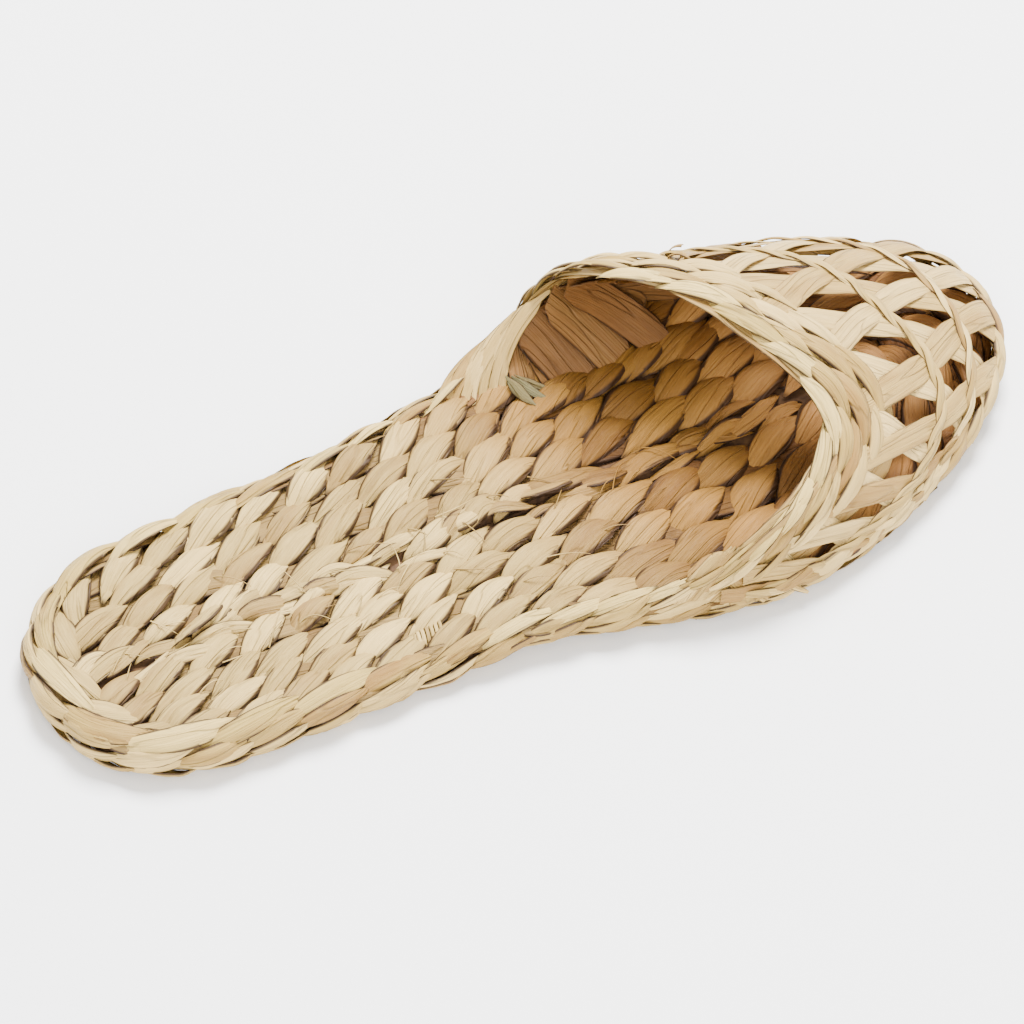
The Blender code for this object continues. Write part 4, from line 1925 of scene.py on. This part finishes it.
@dataclass
class LatticeWeave:
    """Open toe cover: two sets of slanting leaves held by twined weft pairs.

    Every row pinches the leaves to `pinch` less than their width, over `pinch_reach` of a row.
    """

    cover: Cover
    sweep: StrandSweep
    finishes: Finishes
    leaf: float = 4.0
    leaf_swing: float = 0.08
    pinch: float = 0.2
    pinch_reach: float = 0.16
    wander: float = 0.06
    lift_swing: float = 0.1
    fewest_points: int = 12
    phase: float = 0.25
    top_row: float = -0.35
    low_row: float = 3.2
    cell_margin: float = 0.3
    cord: WeftCord = WeftCord()
    base_place: float = 2.9
    base_end: float = 0.93
    base_width: float = 4.8
    base_twine: Twine = Twine(length=20.0, pitch=11.5, nominal=4.6, grow=0.0, slant=12.0,
                              fullness=1.15, rise=0.4, tuck=0.6, tilt=0.7, roll=0.2, point=2.0,
                              count=18)

    def leaves(self, name: str, seed: int, lean: float, height: float) -> Piece:
        """One set of slanting leaves.

        Args:
            name: Name of the piece.
            seed: Seed of its small differences.
            lean: Cells that a leaf moves across in each row, + to the left.
            height: Millimetres off the surface.

        Returns:
            The piece.
        """
        strands = Strands(self.cover.last, seed)
        draw = strands.random
        offset = 1.0 - self.phase if lean > 0.0 else self.phase
        for k in range(-3, self.cover.cells + 3):
            rows = np.linspace(self.top_row, self.low_row, 60)
            cells = k + offset + lean * rows + self.wander * draw.normal() * np.sin(rows * 1.7)
            inside = (cells > -self.cell_margin) & (cells < self.cover.cells + self.cell_margin)
            if inside.sum() < self.fewest_points:
                continue
            rows, cells = rows[inside], cells[inside]
            pinch = sum(np.exp(-((rows - weft) / self.pinch_reach) ** 2) for weft in (1.0, 2.0))
            crossing = np.cos(math.pi * 2.0 * rows)
            off = height * (0.5 - 0.5 * crossing) + self.lift_swing * draw.normal()
            points, normals = self.cover.at(rows, self.cover.across(cells), off)
            width = self.leaf * (1.0 + self.leaf_swing * draw.normal()) * (1.0 - self.pinch * pinch)
            width = width * self.cover.closeness(self.cover.across(cells))
            strands.add(points, normals, width)
        return self.sweep.run(name, strands, Section.FLAT, self.finishes.lattice,
                              sides=14, wrinkle=0.15)

    def row(self, number: float, end: float, height: float, width: float) -> Row:
        """Line along one row of the lattice.

        Args:
            number: Row number.
            end: How far across the line runs each way.
            height: Millimetres off the surface.
            width: Width of the row.

        Returns:
            The row's line.
        """
        across = spread(end, 320)
        points, normals = self.cover.at(np.full(len(across), number), across, height)
        return Row(points, normals, np.full(len(across), width))

    def weft(self, name: str, number: float, seed: int, end: float) -> Piece:
        """A twined pair of thin strands along one row.

        Args:
            name: Name of the piece.
            number: Row number.
            seed: Seed of its small differences.
            end: How far across the pair runs each way.

        Returns:
            The piece.
        """
        strands = Strands(self.cover.last, seed)
        cord = self.cord
        line = self.row(number, end, cord.height, 1.0)
        run = np.linspace(0.0, line.length, 300)
        cell = line.length / self.cover.cells
        for side in (0.0, math.pi):
            turn = 2.0 * math.pi * run / cell + side
            points, normals = line.at(run, cord.swing * np.cos(turn), cord.lift * np.sin(turn))
            uneven = cord.unevenness * np.sin(run * cord.wave + side * 3.0)
            strands.add(points, normals, cord.half * (1.0 + uneven))
        return self.sweep.run(name, strands, Section.FULL, self.finishes.outer,
                              sides=10, wrinkle=0.2)

    def base(self) -> Piece:
        """Twined row where the cover meets the sole.

        Returns:
            The piece.
        """
        strands = Strands(self.cover.last, 35)
        line = self.row(self.base_place, self.base_end, 0.0, self.base_width)
        self.base_twine.lay(line, strands)
        return self.sweep.run("base_row", strands, Section.FULL, self.finishes.outer,
                              sides=14, wrinkle=0.3)

    def build(self) -> Built:
        """Builds the lattice.

        Returns:
            Each piece with its material slot and the solids that it stands for.
        """
        return [
            (self.leaves("lattice_over", 31, 0.5, 0.6), "lattice", ("upper",)),
            (self.leaves("lattice_beneath", 32, -0.5, -0.7), "lattice", ("upper",)),
            (self.weft("weft_pair_1", 1.0, 33, 0.93), "weft_cord", ("weft_row_1",)),
            (self.weft("weft_pair_2", 2.0, 34, 0.92), "weft_cord", ("weft_row_2",)),
            (self.base(), "weft_cord", ("toe_cord",)),
        ]


@dataclass(frozen=True)
class Curl:
    """Curled end of a strand that stands behind the collar.

    `loops` holds each loop's turns, its width against its radius, and its shift along the row.
    """

    row: float = -0.05
    across: float = 0.27
    height: float = 1.2
    radius: float = 2.6
    loops: tuple[Spot, ...] = ((1.3, 1.0, 0.0), (0.9, 1.3, 2.0))
    flatness: float = 0.6
    climb: float = 2.0
    slide: float = 2.2
    half: float = 1.1
    sunk: float = 0.1


@dataclass(frozen=True)
class LooseEnd:
    """End of a strand that pokes out at the toe cover's base."""

    row: float = 3.0
    across: float = -0.87
    root: Spot = (2.5, -2.5, 0.0)
    way: Spot = (6.0, -5.5, -2.5)
    facing: Spot = (0.0, -0.4, 0.9)
    half: float = 1.3


@dataclass(frozen=True)
class GreenBlades:
    """Start, end and half width of the greenish blades inside the far flank."""

    blades: tuple[tuple[Spot, Spot, float], ...] = (
        ((145.5, 34.5, 13.6), (149.5, 26.0, 9.2), 1.8),
        ((147.0, 34.5, 13.0), (153.5, 25.5, 9.4), 1.5),
        ((148.0, 35.0, 12.4), (157.0, 27.0, 9.2), 1.2),
    )
    facing: Spot = (-0.35, -0.5, 0.8)
    sag: float = 1.0


@dataclass(frozen=True)
class WoundCord:
    """Turns of thread round a short cord that crosses one groove of the footbed."""

    turns: int = 7
    start: Spot = (88.0, -26.5, 7.0)
    pitch: Range = (1.25, 0.12)
    reach: Range = (1.5, 5.4)
    hump: float = 1.9
    half: float = 0.55
    sunk: float = 0.25


@dataclass(frozen=True)
class Frays:
    """Thin fibres that stand up along the footbed's middle."""

    count: int = 46
    stations: Varied = Varied(20.0, 150.0)
    lengths: Varied = Varied(5.0, 7.0)
    left_swing: float = 9.0
    turn_swing: float = 0.7
    height: float = 8.4
    hump: float = 1.3
    height_swing: float = 0.9
    climb: float = 0.8
    half: float = 0.22


@dataclass
class LooseBits:
    """Small irregular things: a curl, a loose end, green blades, wound cord, frayed fibres."""

    sole: Sole
    cover: Cover
    sweep: StrandSweep
    finishes: Finishes
    curl: Curl = Curl()
    loose_end: LooseEnd = LooseEnd()
    green: GreenBlades = GreenBlades()
    cord: WoundCord = WoundCord()
    frays: Frays = Frays()

    def on_cover(self) -> Piece:
        """The curled end behind the collar and the loose end at the toe's base.

        Returns:
            The piece.
        """
        strands = Strands(self.sole.last, 41)
        share = np.linspace(0.0, 1.0, 30)
        curl, end = self.curl, self.loose_end
        spots, facing = self.cover.at(np.full(2, curl.row),
                                      np.array([curl.across, curl.across + 0.05]), curl.height)
        ahead = unit(spots[1] - spots[0])
        for turns, wide, shift in curl.loops:
            turn = 2.0 * math.pi * turns * share
            along = curl.radius * np.cos(turn) * wide + shift
            rise = curl.radius * np.sin(turn) * curl.flatness + curl.climb * share
            points = spots[0] + np.outer(along, ahead) + np.outer(rise, facing[0])
            points += np.outer(curl.slide * (share - 0.5), np.cross(ahead, facing[0]))
            half = np.full(len(share), curl.half)
            strands.add(points, alike(facing[0], len(share)), half, curl.sunk)
        base, _ = self.cover.at(np.array([end.row]), np.array([end.across]), 0.0)
        points = base + np.outer(share, end.way) - np.array(end.root)
        strands.add(points, alike(end.facing, len(share)), end.half * (1.05 - share) ** 0.4)
        return self.sweep.run("loose_ends", strands, Section.FULL, self.finishes.outer,
                              sides=12, wrinkle=0.2)

    def green_leaf(self) -> Piece:
        """Greenish blades that lie inside the far flank, near the mouth.

        Returns:
            The piece.
        """
        strands = Strands(self.sole.last, 42)
        share = np.linspace(0.0, 1.0, 14)
        facing = alike(unit(np.array(self.green.facing)), len(share))
        lens = np.maximum(ease(share, -0.1, 0.4) * (1.0 - share ** 3), 0.15)
        for start, stop, half in self.green.blades:
            points = np.array(start) + np.outer(share, np.subtract(stop, start))
            points[:, 2] -= self.green.sag * np.sin(math.pi * share)
            strands.add(points, facing, half * lens)
        return self.sweep.run("green_leaf", strands, Section.LEAF, self.finishes.green,
                              sides=14, wrinkle=0.3)

    def fibres(self) -> Piece:
        """Wound cord across one groove, and frayed fibres along the middle.

        Returns:
            The piece.
        """
        strands = Strands(self.sole.last, 43)
        share = np.linspace(-0.5, 0.5, 10)
        hump = 1.0 - 4.0 * share * share
        up = alike(UP, len(share))
        cord = self.cord
        for k in range(cord.turns):
            points = np.column_stack((cord.start[0] + cord.pitch[0] * k + cord.reach[0] * share,
                                      cord.start[1] + cord.pitch[1] * k + cord.reach[1] * share,
                                      cord.start[2] + cord.hump * hump ** 0.5))
            strands.add(points, up, np.full(len(share), cord.half), cord.sunk)
        frays, draw = self.frays, strands.random
        for _ in range(frays.count):
            station, left = frays.stations.even(draw), frays.left_swing * draw.normal()
            turn, length = frays.turn_swing * draw.normal(), frays.lengths.even(draw)
            bend = draw.normal() * hump
            height = frays.height + frays.hump * hump + frays.height_swing * draw.random()
            points = np.column_stack((station + length * share * math.cos(turn),
                                      left + length * share * math.sin(turn) + bend,
                                      height + frays.climb * share))
            strands.add(points, up, frays.half * (1.05 - (share + 0.5)) ** 0.5)
        return self.sweep.run("frayed_fibres", strands, Section.CORD, self.finishes.footbed,
                              sides=8, wrinkle=0.0)

    def build(self) -> Built:
        """Builds the small things.

        Returns:
            Each piece with its material slot and the solids that it stands for.
        """
        return [
            (self.on_cover(), "lattice", ("upper",)),
            (self.green_leaf(), "lattice", ("upper",)),
            (self.fibres(), "top_mat", ("footbed",)),
        ]


@dataclass(frozen=True)
class Lamp:
    """Soft square lamp that faces the slipper: metres and watts."""

    name: str
    place: Spot
    size: float
    power: float

    def hang(self) -> None:
        """Puts the lamp in the scene."""
        lamp = bpy.data.lights.new(self.name, "AREA")
        lamp.size = self.size
        lamp.energy = self.power
        holder = placed(self.name, lamp)
        holder.location = self.place
        holder.rotation_euler = (-Vector(self.place)).to_track_quat("-Z", "Y").to_euler()


@dataclass(frozen=True)
class Studio:
    """Pale floor, soft lights and the camera."""

    turn: float = -28.0
    elevation: float = 50.0
    distance: float = 2.5
    aim: Spot = (-0.0072, -0.0034, 0.0137)
    field_width: float = 0.252
    sensor: float = 36.0
    farthest_seen: float = 50.0
    floor_half: float = 6.0
    floor_grey: float = 0.93
    floor_roughness: float = 0.9
    sky_strength: float = 1.3
    lamps: tuple[Lamp, ...] = (
        Lamp("key", (0.6, 0.65, 1.6), 0.8, 145.0),
        Lamp("fill", (-0.5, -1.5, 1.1), 1.2, 50.0),
    )

    def floor(self) -> Piece:
        """Wide pale floor.

        Returns:
            The floor.
        """
        mesh = bpy.data.meshes.new("floor")
        spots = [(x * self.floor_half, y * self.floor_half, 0.0)
                 for x, y in ((-1, -1), (1, -1), (1, 1), (-1, 1))]
        mesh.from_pydata(spots, [], [(0, 1, 2, 3)])
        paper = bpy.data.materials.new("pale_paper")
        paper.use_nodes = True
        shader = paper.node_tree.nodes["Principled BSDF"]
        shader.inputs["Base Color"].default_value = (*[self.floor_grey] * 3, 1.0)
        shader.inputs["Roughness"].default_value = self.floor_roughness
        mesh.materials.append(paper)
        return placed("floor", mesh)

    def sky(self) -> None:
        """Even white light from all round."""
        world = bpy.data.worlds.new("studio")
        world.use_nodes = True
        ground = world.node_tree.nodes["Background"]
        ground.inputs["Color"].default_value = (1.0, 1.0, 1.0, 1.0)
        ground.inputs["Strength"].default_value = self.sky_strength
        bpy.context.scene.world = world

    def camera(self) -> None:
        """Camera that looks along the ground to the right of +Y and down at the slipper."""
        turn = math.radians(self.turn)
        rise = math.radians(self.elevation)
        back = Vector((math.sin(turn) * math.cos(rise), -math.cos(turn) * math.cos(rise),
                       math.sin(rise)))
        data = bpy.data.cameras.new("camera")
        data.sensor_width = self.sensor
        data.lens = self.sensor * self.distance / self.field_width
        data.clip_end = self.farthest_seen
        holder = placed("camera", data)
        holder.location = Vector(self.aim) + back * self.distance
        holder.rotation_euler = (-back).to_track_quat("-Z", "Y").to_euler()
        bpy.context.scene.camera = holder

    def build(self) -> None:
        """Sets the stage."""
        self.floor()
        self.sky()
        for lamp in self.lamps:
            lamp.hang()
        self.camera()


def main() -> None:
    """Builds the slipper over its solids and reports each piece."""
    logging.basicConfig(level=logging.INFO, format="%(name)s: %(message)s")
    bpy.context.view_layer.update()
    Studio().build()
    last = Last()
    sole = Sole(last, Outline(last))
    cover = Cover(last)
    sweep = StrandSweep()
    finishes = Finishes.make()
    weaves = (
        SoleWeave(sole, sweep, finishes),
        CollarWeave(sole, cover, sweep, finishes),
        LatticeWeave(cover, sweep, finishes),
        LooseBits(sole, cover, sweep, finishes),
    )
    for weave in weaves:
        for piece, slot, solids in weave.build():
            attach(piece, BODY)
            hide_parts(*solids)
            log.info("%s: %d faces", piece.name, len(piece.data.polygons))


if __name__ == "__main__":
    main()
